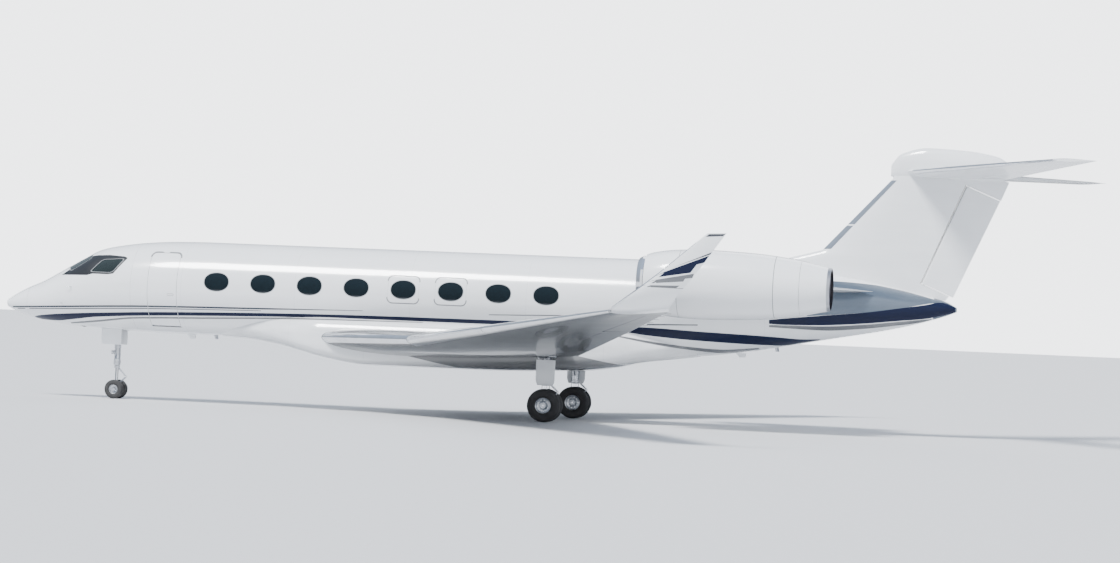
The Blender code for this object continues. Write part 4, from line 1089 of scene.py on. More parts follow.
def hinged_surface(name, hinge, radii, trailing, up, finish, stub=0.02):
    """A control surface with a round nose about its hinge and a stub shaft at each end."""
    start, end = hinge
    axis, aft, up = hinge_frame(start, end, up)
    rings = []
    for place, inward, radius in ((start, 1, radii[0]), (end, -1, radii[1])):
        pair = []
        body = place + axis * inward * CLEAR
        edge = in_plane(body, axis, trailing)
        tail = [edge + up * TRAILING_HALF, edge - up * TRAILING_HALF]
        full = nose_arc(body, radius, aft, up) + tail[::-1]
        for spot in (place + axis * inward * RUN, body):
            small = nose_arc(spot, stub, aft, up)
            small += [spot + (aft * 0.7 - up * 0.7) * stub, spot + (aft * 0.7 + up * 0.7) * stub]
            pair.append(small)
        pair.append(full)
        rings.append(pair)
    return loft(name, rings[0] + rings[1][::-1], finish)


def surface_notch(hinge, radii, trailing, up):
    """The space a control surface takes out of the fixed surface."""
    start, end = hinge
    axis, aft, up = hinge_frame(start, end, up)
    rings = []
    for place, radius in ((start, radii[0]), (end, radii[1])):
        reach = (in_plane(place, axis, trailing) - place).dot(aft) + 0.3
        corners = ((-radius - CLEAR, -0.7), (reach, -0.7), (reach, 0.7), (-radius - CLEAR, 0.7))
        rings.append([place + aft * a + up * u for a, u in corners])
    return loft("notch", rings, DARK_AND_CAVITY_SHADE)


def wing_hinge(rows, span, share, side):
    """Hinge line, nose radii and trailing edge of a surface on a wing or tailplane."""
    ends = [wing_point(rows, y, share) for y in span]
    hinge = [mirrored(point, side) for point, _ in ends]
    radii = [half - 0.002 for _, half in ends]
    trailing = [mirrored(wing_point(rows, y, 1.0)[0], side) for y in (max(span[0], rows[0][0]), span[1])]
    return hinge, radii, trailing


def spoiler_panels(side):
    """Front and rear of the spoiler run: hinge line points and the panel chord at each end."""
    ends = []
    for y, chord in zip(SPOILER_SPAN, SPOILER_CHORD):
        point, half = wing_point(WING, y, SPOILER_HINGE)
        ends.append((mirrored(point + UP * (half - 0.018), side), chord))
    return ends


def spoilers(side, word):
    """Three panels on one hinge rod, let into the wing's upper surface."""
    (start, chord_in), (end, chord_out) = spoiler_panels(side)
    axis, aft, up = hinge_frame(start, end, UP)
    length = (end - start).length

    def ring(place, chord, full, rod=0.010, deep=0.014):
        centre = start + axis * place
        if not full:
            arc = nose_arc(centre, rod, aft, up, 8)
            return arc + [centre + (aft * 0.7 - up * 0.7) * rod, centre + (aft * 0.7 + up * 0.7) * rod]
        _, half = wing_point(WING, abs(centre.y), SPOILER_HINGE)
        drop = half - half_thickness(SPOILER_HINGE + chord * 0.17, straight(WING, abs(centre.y))[4])
        tail = centre + aft * chord - up * drop
        return nose_arc(centre, deep, aft, up, 8) + [tail - up * 0.002, tail + up * 0.010]

    stops = [RUN, CLEAR]
    for k in (1, 2):
        stops += [length * k / 3 - 0.02, length * k / 3 + 0.02]
    stops += [length - CLEAR, length - RUN]
    rings = [ring(stops[0], chord_in, False)]
    for low, high in zip(stops[1:-1:2], stops[2:-1:2]):
        chords = [mix(chord_in, chord_out, place / length) for place in (low, high)]
        rings += [
            ring(low, chords[0], False), ring(low, chords[0], True),
            ring(high, chords[1], True), ring(high, chords[1], False),
        ]
    rings.append(ring(stops[-1], chord_out, False))
    name = "spoilers_" + word
    fit(loft(name, rings, WING_GREY_AND_SHADE), name, name)


def spoiler_recess(side):
    (start, chord_in), (end, chord_out) = spoiler_panels(side)
    _, aft, up = hinge_frame(start, end, UP)
    rings = []
    for place, chord in ((start, chord_in), (end, chord_out)):
        corners = ((-0.024, -0.045), (chord + CLEAR, -0.060), (chord + CLEAR, 0.30), (-0.024, 0.30))
        rings.append([place + aft * a + up * u for a, u in corners])
    return loft("spoiler_recess", rings, DARK_AND_CAVITY_SHADE)


def wing_ring(y, side):
    front_x, front_z, rear_x, rear_z, thickness = straight(WING, y)
    return section_ring((front_x, side * y, front_z), (rear_x, side * y, rear_z), UP, thickness)


def wing_root(side, y=1.42):
    """The wing's section carried a little way into the fairing."""
    a, b = wing_ring(WING[0][0], side), wing_ring(2.0, side)
    share = (y - WING[0][0]) / (2.0 - WING[0][0])
    return [p.lerp(q, share) for p, q in zip(a, b)]


def edge_strip(name, sections, reach, proud, finish):
    """A cuff over the leading edge: sections are (front, rear, up, thickness), reach a share of the chord."""
    rings = []
    shares = [reach * (k / 7) ** 2 for k in range(8)]
    for front, rear, up, thickness in sections:
        front, rear, up = Vector(front), Vector(rear), Vector(up)
        ahead = (front - rear).normalized() * proud
        upper = [front.lerp(rear, s) + ahead + up * (half_thickness(s, thickness) + proud) for s in shares]
        lower = [front.lerp(rear, s) + ahead - up * (half_thickness(s, thickness) + proud) for s in shares]
        upper[0] = lower[0] = front + ahead
        within = front.lerp(rear, shares[-1])
        depth = up * half_thickness(shares[-1], thickness) * 0.6
        rings.append(upper[::-1] + lower[1:] + [within - depth, within + depth])
    return loft(name, rings, finish)


def wing_sections(side, spans):
    found = []
    for y in spans:
        front_x, front_z, rear_x, rear_z, thickness = straight(WING, y)
        found.append(((front_x, side * y, front_z), (rear_x, side * y, rear_z), UP, thickness))
    return found


def winglet_sections(side):
    found = []
    read = smooth_table([(k / 4, *front, *rear, *more) for k, (front, rear, *more) in enumerate(WINGLET)])
    for k in range(21):
        fx, fy, fz, rx, ry, rz, cant, thick = read(k / 20)
        up = Vector((0, -side * math.sin(math.radians(cant)), math.cos(math.radians(cant))))
        found.append(((fx, side * fy, fz), (rx, side * ry, rz), up, thick))
    return found


def wing(side, word):
    """A wing with its moving surfaces, polished leading edge and winglet."""
    rings = [wing_root(side)] + [
        wing_ring(y, side) for y in (WING[0][0], 2.4, 3.2, 4.0, 6.0, 8.0, 10.0, 12.0, 14.0)
    ]
    panel = loft("wing_" + word, rings, WING_GREY_AND_SHADE, (DARK_AND_CAVITY_SHADE,))
    for name, span, share in (("flap", FLAP_SPAN, FLAP_HINGE), ("aileron", AILERON_SPAN, AILERON_HINGE)):
        hinge, radii, trailing = wing_hinge(WING, span, share, side)
        node = name + "_" + word
        surface = hinged_surface(node, hinge, radii, trailing, UP, WING_GREY_AND_SHADE)
        fit(surface, node, node)
        boolean(panel, surface_notch(hinge, radii, trailing, UP))
    spoilers(side, word)
    boolean(panel, spoiler_recess(side))
    middle = side * MAIN_GEAR_Y
    pocket = block(
        "gear_pocket", (MAIN_GEAR_X - 0.27, middle - 0.20, 1.0),
        (MAIN_GEAR_X + 0.27, middle + 0.20, POCKET_ROOF), DARK_AND_CAVITY_SHADE
    )
    boolean(panel, pocket)
    fit(panel, stands_for="wing_" + word)
    for name, spans, reach in (
        ("glove_edge_", (1.62, 2.4, 3.2, 4.0), 0.022),
        ("slat_edge_", (4.03, 6.0, 8.0), 0.055),
        ("outer_edge_", (8.03, 10.0, 12.0, 13.97), 0.055),
    ):
        strip = edge_strip(name + word, wing_sections(side, spans), reach, EDGE_PROUD, POLISHED)
        fit(strip)
    sections = winglet_sections(side)
    rings = [section_ring(*section) for section in sections]
    for point in rings[0]:
        point.y += side * RUN
    fit(loft("winglet_" + word, rings, WHITE), stands_for="winglet_" + word)
    edge = edge_strip("winglet_edge_" + word, sections[1:-1], 0.03, EDGE_PROUD, POLISHED)
    fit(edge)


def fin_sections():
    """The fin's sections from its foot to the steeper front inside the fairing on top."""
    found = []
    for z in (3.70, 4.30, 4.46, 4.62, 4.68, 4.74, 4.80, 4.87, 4.94, 5.3, 5.8, 6.3, FIN[-1][0]):
        front, rear, thick = straight(FIN, z)
        found.append((z, front, rear, thick))
    return found + [
        (7.04, 9.645, 12.3, 0.28), (7.24, 9.70, 12.2, 0.26), (7.44, 9.78, 12.0, 0.22),
        (7.60, 9.90, 11.8, 0.14)
    ]


def fin_and_rudder():
    rings = [
        section_ring((front, 0, z), (rear, 0, z), ACROSS, thick) for z, front, rear, thick in fin_sections()
    ]
    fin = loft("vertical_fin", rings, WHITE, (DARK_AND_CAVITY_SHADE,))
    boolean(fin, body_solid("fin_seat", REAR_SEAM, TAIL_X, 0.03))
    hinge = [Vector(point) for point in RUDDER_HINGE]
    trailing = [Vector((rear, 0, z)) for z, _, rear, _ in (FIN[1], FIN[-1])]
    radii = (0.088, 0.078)
    fit(hinged_surface("rudder", hinge, radii, trailing, ACROSS, WHITE), "rudder", "rudder")
    boolean(fin, surface_notch(hinge, radii, trailing, ACROSS))
    fit(fin, stands_for="vertical_fin")
    for name, low, high in (("fin_edge_lower", 4.97, 5.62), ("fin_edge_upper", 5.66, 6.88)):
        rows = [
            ((straight(FIN, z)[0], 0, z), (straight(FIN, z)[1], 0, z), ACROSS, straight(FIN, z)[2])
            for z in (low, high)
        ]
        fit(edge_strip(name, rows, 0.05, EDGE_PROUD, POLISHED))


def tailplane():
    """The tailplane with the fairing on top of the fin, and its two elevators."""
    def row(y, side):
        front_x, front_z, rear_x, rear_z, thickness = straight(TAILPLANE, y)
        return (front_x, side * y, front_z), (rear_x, side * y, rear_z), UP, thickness

    spans = [(-1, y) for y in (6.0, 5.92, 4.0, 2.0)] + [(1, y) for y in (0.0, 2.0, 4.0, 5.92, 6.0)]
    rings = []
    for side, y in spans:
        front, rear, up, thick = row(y, side)
        rings.append(section_ring(front, rear, up, thick * (0.7 if y == 6.0 else 1.0)))
    plane = loft("stabilizer", rings, WHITE, (DARK_AND_CAVITY_SHADE,))
    shapes = []
    for x in spaced(BULLET[0][0], BULLET[-1][0], 0.06):
        half, top, bottom = bullet_at(x)
        middle, tall = (top + bottom) / 2, (top - bottom) / 2
        angles = [2 * math.pi * (k + 0.5) / 48 for k in range(48)]
        shapes.append([Vector((x, half * math.sin(a), middle + tall * math.cos(a))) for a in angles])
    boolean(plane, loft("bullet_form", shapes, WHITE), "UNION")
    for side, word in SIDES:
        hinge, radii, trailing = wing_hinge(TAILPLANE, ELEVATOR_SPAN, ELEVATOR_HINGE, side)
        name = "elevator_" + word
        fit(hinged_surface(name, hinge, radii, trailing, UP, WHITE), name, name)
        boolean(plane, surface_notch(hinge, radii, trailing, UP))
        edge = edge_strip(
            "tailplane_edge_" + word, [row(y, side) for y in (0.35, 3.0, 5.9)], 0.045, EDGE_PROUD, POLISHED
        )
        fit(edge)
    boolean(plane, block("fin_top_gap", (9.0, -0.4, 6.0), (13.5, 0.4, FIN_TOP), SEAL))
    fit(plane, stands_for="stabilizer")


# Geometry Nodes for what repeats

def copies_round_axis():
    """Copies of one item turned evenly round an axis through a centre."""
    tree = bpy.data.node_groups.new("copies_round_axis", "GeometryNodeTree")
    for key, kind in (
        ("Item", "NodeSocketObject"), ("Count", "NodeSocketInt"), ("Axis", "NodeSocketVector"),
        ("Start Turn", "NodeSocketFloat"), ("Centre", "NodeSocketVector"), ("Finish", "NodeSocketMaterial"),
    ):
        tree.interface.new_socket(key, in_out="INPUT", socket_type=kind)
    tree.interface.new_socket("Geometry", in_out="OUTPUT", socket_type="NodeSocketGeometry")
    given, out = add(tree, "NodeGroupInput").outputs, add(tree, "NodeGroupOutput")
    item = add(tree, "GeometryNodeObjectInfo", Object=given["Item"], As_Instance=True)
    spots = add(tree, "GeometryNodePoints", Count=given["Count"])
    number = add(tree, "GeometryNodeInputIndex").outputs[0]
    share = worked(tree, "DIVIDE", number, given["Count"])
    turn = worked(tree, "MULTIPLY_ADD", share, 2 * math.pi, given["Start Turn"])
    spin = add(tree, "FunctionNodeAxisAngleToRotation", Axis=given["Axis"], Angle=turn)
    placed_items = add(
        tree, "GeometryNodeInstanceOnPoints", Points=spots.outputs[0], Instance=item.outputs["Geometry"],
        Rotation=spin.outputs[0],
    )
    real = add(tree, "GeometryNodeRealizeInstances", Geometry=placed_items.outputs[0])
    moved = add(tree, "GeometryNodeTransform", Geometry=real.outputs[0], Translation=given["Centre"])
    done = add(tree, "GeometryNodeSetMaterial", Geometry=moved.outputs[0], Material=given["Finish"])
    tree.links.new(done.outputs[0], out.inputs["Geometry"])
    return tree


def copies_on_line():
    """Copies of one item spaced evenly from a start to an end, growing or shrinking on the way."""
    tree = bpy.data.node_groups.new("copies_on_line", "GeometryNodeTree")
    for key, kind in (
        ("Item", "NodeSocketObject"), ("Count", "NodeSocketInt"), ("Start", "NodeSocketVector"),
        ("End", "NodeSocketVector"), ("End Size", "NodeSocketFloat"), ("Finish", "NodeSocketMaterial"),
    ):
        tree.interface.new_socket(key, in_out="INPUT", socket_type=kind)
    tree.interface.new_socket("Geometry", in_out="OUTPUT", socket_type="NodeSocketGeometry")
    given, out = add(tree, "NodeGroupInput").outputs, add(tree, "NodeGroupOutput")
    item = add(tree, "GeometryNodeObjectInfo", Object=given["Item"], As_Instance=True)
    line = add(
        tree, "GeometryNodeMeshLine", {"mode": "END_POINTS"}, Count=given["Count"],
        Start_Location=given["Start"]
    )
    tree.links.new(given["End"], line.inputs["Offset"])
    number = add(tree, "GeometryNodeInputIndex").outputs[0]
    steps = worked(tree, "SUBTRACT", given["Count"], 1.0)
    share = worked(tree, "DIVIDE", number, steps)
    size = add(tree, "ShaderNodeMapRange", Value=share, To_Min=1.0, To_Max=given["End Size"])
    placed_items = add(
        tree, "GeometryNodeInstanceOnPoints", Points=line.outputs[0], Instance=item.outputs["Geometry"],
        Scale=size.outputs[0],
    )
    real = add(tree, "GeometryNodeRealizeInstances", Geometry=placed_items.outputs[0])
    done = add(tree, "GeometryNodeSetMaterial", Geometry=real.outputs[0], Material=given["Finish"])
    tree.links.new(done.outputs[0], out.inputs["Geometry"])
    return tree


ROUND_TREE, LINE_TREE = copies_round_axis(), copies_on_line()


def grown(name, tree, finish, **values):
    """A plain mesh made by a node tree with the given inputs; the item it copies is used up."""
    mesh = bpy.data.meshes.new(name)
    obj = bpy.data.objects.new(name, mesh)
    bpy.context.scene.collection.objects.link(obj)
    change = obj.modifiers.new("Grow", "NODES")
    change.node_group = tree
    values["Finish"] = finish
    sockets = {s.name: s.identifier for s in tree.interface.items_tree if s.in_out == "INPUT"}
    for key, value in values.items():
        change[sockets[key.replace("_", " ")]] = value
    bake(obj)
    if not obj.data.materials:
        obj.data.materials.append(finish)
    return obj


def used_up(item):
    bpy.data.objects.remove(item)


# Engines

NACELLE_SIDES = 96


def smooth_profile(rows, start, end, count):
    read = smooth_table(rows)
    return [(x, read(x)[0]) for x in spaced(start, end, (end - start) / count + 1e-9)]


def nacelle(side, word):
    """The cowl with its polished lip, intake duct, bypass duct and ringed nozzle."""
    centre = (0.0, side * ENGINE_Y, ENGINE_Z)
    outer = smooth_profile(NACELLE_OUTER[1:], 3.34, 8.40, 60)
    lip_top = [(3.300, 0.585), (3.301, 0.605), (3.306, 0.628), (3.318, 0.648)]
    inner = smooth_profile(NACELLE_INNER, 3.305, 8.40, 60)
    lip = [p for p in inner if p[0] <= LIP_END][::-1] + lip_top + [p for p in outer if p[0] <= LIP_END]
    lip_back = [(LIP_END - 0.004, lip[-1][1] - 0.02), (LIP_END - 0.004, lip[0][1] + 0.02)]
    fit(
        turned("intake_lip_" + word, lip + lip_back, centre, 0, NACELLE_SIDES, POLISHED, closed=True),
    )
    seam = NOZZLE_START - 0.004
    cowl_outer = [p for p in outer if LIP_END < p[0] < seam]
    cowl_outer.append((seam, smooth_table(NACELLE_OUTER[1:])(seam)[0]))
    cowl_inner = [(seam, smooth_table(NACELLE_INNER)(seam)[0])]
    cowl_inner += [p for p in inner if LIP_END < p[0] < seam][::-1]
    cowl = turned(
        "nacelle_" + word, cowl_outer + cowl_inner, centre, 0, NACELLE_SIDES, WHITE, closed=True,
        slots=(DARK_AND_CAVITY_SHADE,)
    )
    # Faces inside the intake and bypass ducts take the near-black finish: painted shade.
    for face in cowl.data.polygons:
        x, y, z = face.center
        radial = Vector((0, y - centre[1], z - centre[2]))
        face.material_index = 1 if face.normal.dot(radial) < 0 else 0
    fit(cowl, stands_for="nacelle_" + word)
    seam = NOZZLE_START + 0.004
    tail_outer = [(seam, smooth_table(NACELLE_OUTER[1:])(seam)[0])] + [p for p in outer if p[0] > seam]
    tail_inner = [p for p in inner if p[0] > seam][::-1] + [(seam, smooth_table(NACELLE_INNER)(seam)[0])]
    nozzle = turned(
        "exhaust_nozzle_" + word, tail_outer + tail_inner, centre, 0, NACELLE_SIDES, WHITE, closed=True,
        slots=(HOT_METAL, NOZZLE)
    )
    for face in nozzle.data.polygons:
        x, y, z = face.center
        radial = Vector((0, y - centre[1], z - centre[2]))
        face.material_index = 1 if face.normal.dot(radial) < 0 else 2 if x > 8.30 else 0
    fit(nozzle)
    bands(side, word, outer)
    for k, x in enumerate((7.95, 8.04, 8.13, 8.22, 8.31)):
        radius = smooth_table(NACELLE_INNER)(x)[0] - 0.001
        ring = turned(
            "nozzle_ring_" + word + "_" + str(k),
            ((x - 0.012, radius), (x, radius - 0.012), (x + 0.012, radius)), centre, 0, 72, HOT_METAL,
            closed=True,
        )
        fit(ring)
    grille(side, word)


def bands(side, word, outer):
    """Cowl joints: thin grey rings flush in the paint, and the split line of the cowl doors."""
    centre = (0.0, side * ENGINE_Y, ENGINE_Z)
    read = smooth_table(outer)
    for k, (x, wide) in enumerate(((4.42, 0.006), (6.95, 0.010))):
        profile = (
            (x - wide, read(x - wide)[0] + 0.001), (x + wide, read(x + wide)[0] + 0.001),
            (x + wide, read(x)[0] - 0.004), (x - wide, read(x)[0] - 0.004),
        )
        name = "cowl_joint_" + word + "_" + str(k)
        fit(turned(name, profile, centre, 0, NACELLE_SIDES, SEAL, closed=True))
    for k, angle in enumerate((90, 270)):
        out = Vector((0, math.cos(math.radians(angle)), math.sin(math.radians(angle))))
        across = Vector((0, -out.z, out.y))
        rows = []
        for x in spaced(3.64, 7.80, 0.12):
            radius = read(x)[0] + 0.0012
            middle = Vector((x, centre[1], centre[2])) + out * radius
            rows.append([middle + across * w for w in (-0.004, 0.004)])
        strip = sheet_of("cowl_split_" + word + "_" + str(k), rows, SEAL)
        fit(modified(strip, "SOLIDIFY", thickness=0.004, offset=0.0))


def grille(side, word):
    """A row of cooling louvres low on the outer side of the cowl."""
    # Near-black louvre blocks: painted shade in the slots.
    item = block("louvre", (-0.045, -0.006, -0.010), (0.045, 0.006, 0.010), DARK_AND_CAVITY_SHADE)
    y = side * (ENGINE_Y + 0.885)
    row = grown(
        "cowl_louvres_" + word, LINE_TREE, DARK_AND_CAVITY_SHADE, Item=item, Count=6,
        Start=(5.35, y, ENGINE_Z - 0.08), End=(5.35, y, ENGINE_Z + 0.08), End_Size=1.0,
    )
    used_up(item)
    fit(row)


def engine_core(side, word):
    centre = (0.0, side * ENGINE_Y, ENGINE_Z)
    profile = (
        (FAN_X[1] + RUN, 0.07), (4.93, 0.07), (4.95, 0.24), (5.00, 0.36), (5.10, CORE_RADIUS),
        (6.90, CORE_RADIUS), (7.05, 0.372), (7.10, 0.345), (7.12, 0.30), (7.45, 0.285), (7.75, 0.22),
        (8.05, 0.12), (8.25, 0.03),
    )
    core = turned("engine_core_" + word, profile, centre, 0, 64, HOT_METAL)
    fit(core, stands_for="engine_core_" + word)
    for k in range(4):
        angle = math.pi / 2 * k
        out = Vector((0, math.cos(angle), math.sin(angle)))
        wide = Vector((0, -math.sin(angle), math.cos(angle)))
        rings = []
        for distance in (0.30, 0.742):
            base = Vector(centre) + out * distance
            rings.append(section_ring(base + Vector((5.05, 0, 0)), base + Vector((5.70, 0, 0)), wide, 0.07))
        fit(loft("bypass_strut_" + word + "_" + str(k), rings, HOT_METAL))
    vane = loft("vane", [
        [Vector((x, r, w)) for x, w in ((4.62, -0.004), (4.78, 0.018), (4.79, 0.024), (4.63, 0.004))]
        for r in (0.22, 0.69)
    ], FAN_METAL)
    vanes = grown(
        "guide_vanes_" + word, ROUND_TREE, FAN_METAL, Item=vane, Count=36, Axis=(1, 0, 0), Start_Turn=0.0,
        Centre=centre,
    )
    used_up(vane)
    fit(vanes)


def fan(side, word):
    """Pointed spinner with its painted swirl, a disc and wide swept blades."""
    centre = (0.0, side * ENGINE_Y, ENGINE_Z)
    profile = [
        (3.982, 0.004), (3.99, 0.022), (4.02, 0.055), (4.08, 0.10), (4.16, 0.145), (4.24, 0.182),
        (FAN_X[0], FAN_HUB), (FAN_X[1], FAN_HUB), (FAN_X[1], 0.03)
    ]
    spinner = turned("fan_spinner_" + word, profile, centre, 0, 64, SPINNER)
    rings = []
    for k in range(13):
        share = k / 12
        radius = mix(FAN_HUB - 0.01, FAN_RADIUS, share)
        chord = mix(0.10, 0.13, share)
        twist = math.radians(mix(28, 62, share))
        sweep = 0.030 * math.sin(math.pi * share)
        lean = 0.10 * share ** 2
        middle = Vector((mix(FAN_X[0], FAN_X[1], 0.5) - sweep * 0.4, 0, 0))
        along = Vector((math.cos(twist), 0, math.sin(twist)))
        square = Vector((-math.sin(twist), 0, math.cos(twist)))
        ring = []
        for s, t in (
            (-0.5, 0.0), (-0.25, 0.05), (0.1, 0.065), (0.5, 0.02), (0.48, -0.01), (0.1, 0.02), (-0.25, 0.01)
        ):
            spot = middle + along * s * chord + square * (t - 0.02) * chord
            angle = lean + spot.z / radius
            x = min(max(spot.x, FAN_X[0] + 0.002), FAN_X[1] - 0.002)
            ring.append(Vector((x, radius * math.sin(angle), radius * math.cos(angle))))
        rings.append(ring)
    blade = loft("blade", rings, FAN_METAL)
    blades = grown(
        "fan_blades_" + word, ROUND_TREE, FAN_METAL, Item=blade, Count=FAN_BLADES, Axis=(1, 0, 0),
        Start_Turn=0.0, Centre=centre,
    )
    used_up(blade)
    name = "fan_" + word
    fit(spinner, name, name)
    fit(blades, name)


def swirl_paint():
    """Black spinner with a white spiral, which shows when the fan turns."""
    material, tree, body = blank_material("spinner_paint", Roughness=0.3, Coat_Weight=0.4)
    place = add(tree, "ShaderNodeTexCoord").outputs["Object"]
    parts = add(tree, "ShaderNodeSeparateXYZ", Vector=place).outputs
    near = worked(tree, "ABSOLUTE", parts["Y"])
    off = worked(tree, "SUBTRACT", near, ENGINE_Y)
    up = worked(tree, "SUBTRACT", parts["Z"], ENGINE_Z)
    turn = worked(tree, "ARCTAN2", up, off)
    wind = worked(tree, "MULTIPLY_ADD", parts["X"], 14.0, turn)
    wave = worked(tree, "SINE", wind)
    mask = worked(tree, "GREATER_THAN", wave, 0.93)
    tree.links.new(
        blended(tree, mask, (0.03, 0.032, 0.036), (0.85, 0.85, 0.85)), body.inputs["Base Color"]
    )
    return material


SPINNER = swirl_paint()


def pylon(side, word):
    rings = []
    for y, front, rear, thick in PYLON:
        rings.append(section_ring((front, side * y, PYLON_Z), (rear, side * y, PYLON_Z), UP, thick))
    strut = loft("pylon_" + word, rings, WHITE)
    inset = [(x, radius - 0.03) for x, radius in NACELLE_OUTER]
    boolean(strut, turned("nacelle_room", inset, (0, side * ENGINE_Y, ENGINE_Z), 0, 64, WHITE))
    boolean(strut, body_solid("fuselage_room", REAR_SEAM, TAIL_X, 0.03))
    fit(strut, stands_for="pylon_" + word)


# Landing gear

def tyre(name, size, centre, body):
    """A ribbed aircraft tyre: straight circumferential grooves and a rounded shoulder."""
    radius, half, rim = size
    seat = rim + RUN
    groove, deep = 0.012 if radius > 0.3 else 0.007, 0.012 if radius > 0.3 else 0.007
    tread = [(-half * 0.62, radius - 0.012), (-half * 0.50, radius - 0.002)]
    for k in (-1, 0, 1):
        at = k * half * 0.30
        tread += [
            (at - groove / 2 - 0.002, radius), (at - groove / 2, radius - deep),
            (at + groove / 2, radius - deep), (at + groove / 2 + 0.002, radius)
        ]
    tread += [(half * 0.50, radius - 0.002), (half * 0.62, radius - 0.012)]
    wall = ((0.90, 0.76), (0.995, 0.50), (0.97, 0.26), (0.86, 0.08), (0.72, 0.0))
    side_out = [(half * out, mix(seat, radius, share)) for out, share in wall]
    profile = [(-x, r) for x, r in reversed(side_out)] + tread + side_out
    wheel = turned(name, profile, centre, 1, 80, RUBBER, closed=True)
    wheel_flat_tyre(wheel, centre, radius)
    fit(wheel, body, name, angle=28)


def wheel_flat_tyre(wheel, centre, radius):
    """The tread flattens a little where it meets the ground at rest."""
    for vertex in wheel.data.vertices:
        low = centre[2] - radius
        vertex.co.z = max(vertex.co.z, low + 0.0005)


def wheel_hubs(name, size, track, shaft, centre, body):
    """Two forged rims with a dished web and tie bolts, on one axle."""
    _, half, rim = size
    for o, word in ((-1, "inner"), (1, "outer")):
        # The outer face of a rim turns away from the leg
        y = centre[1] + o * track
        profile = [
            (y - o * half * 0.78, rim * 0.50), (y - o * half * 0.78, rim),
            (y - o * half * 0.70, rim * 0.985), (y + o * half * 0.70, rim * 0.985),
            (y + o * half * 0.80, rim * 1.0), (y + o * half * 0.84, rim * 0.97),
            (y + o * half * 0.80, rim * 0.90), (y + o * half * 0.30, rim * 0.80),
            (y + o * half * 0.22, rim * 0.55), (y + o * half * 0.50, rim * 0.42),
            (y + o * half * 0.84, rim * 0.36), (y + o * half * 0.84, shaft * 0.4),
            (y - o * half * 0.30, shaft * 0.4), (y - o * half * 0.30, rim * 0.50),
        ]
        rim_piece = turned(
            name + "_rim_" + word, profile, (centre[0], 0, centre[2]), 1, 64, STEEL, closed=True
        )
        fit(rim_piece, body)
        bolt_size = rim * 0.045
        bolt = turned(
            "bolt", ((0.0, bolt_size), (o * 0.012, bolt_size), (o * 0.016, bolt_size * 0.7)),
            (0, 0, rim * 0.66), 1, 6, CHROME
        )
        bolts = grown(
            name + "_bolts_" + word, ROUND_TREE, CHROME, Item=bolt, Count=10, Axis=(0, 1, 0), Start_Turn=0.2,
            Centre=(centre[0], y + o * half * 0.235, centre[2]),
        )
        used_up(bolt)
        fit(bolts, body)
    reach = track + half * 0.60
    axle = turned(
        name, ((centre[1] - reach, shaft), (centre[1] + reach, shaft)), (centre[0], 0, centre[2]), 1, 32,
        CHROME
    )
    fit(axle, body, name)


def leg_tube(name, x, y, rows, finish, body=ROOT, stands_for=()):
    return fit(turned(name, rows, (x, y, 0), 2, 40, finish), body, stands_for, angle=28)


def torque_link(name, x, y, upper, lower, reach, half, body):
    """A pair of forged links, meeting aft of the leg."""
    middle = (upper + lower) / 2
    for word, anchor in (("upper", upper), ("lower", lower)):
        away = 0.035 if word == "upper" else -0.035
        outline = [
            (x + 0.02, anchor + away), (x + 0.02, anchor - away), (x + reach - 0.04, middle + away * 0.15),
            (x + reach, middle + away * 0.5)
        ]
        plate = prism(name + "_" + word, outline, 1, y - half, y + half, STEEL)
        fit(bevelled(plate, 0.006), body)
    pin = turned(
        name + "_pin", ((y - half - 0.012, 0.014), (y + half + 0.012, 0.014)),
        (x + reach - 0.012, 0, middle), 1, 16, CHROME
    )
    fit(pin, body)


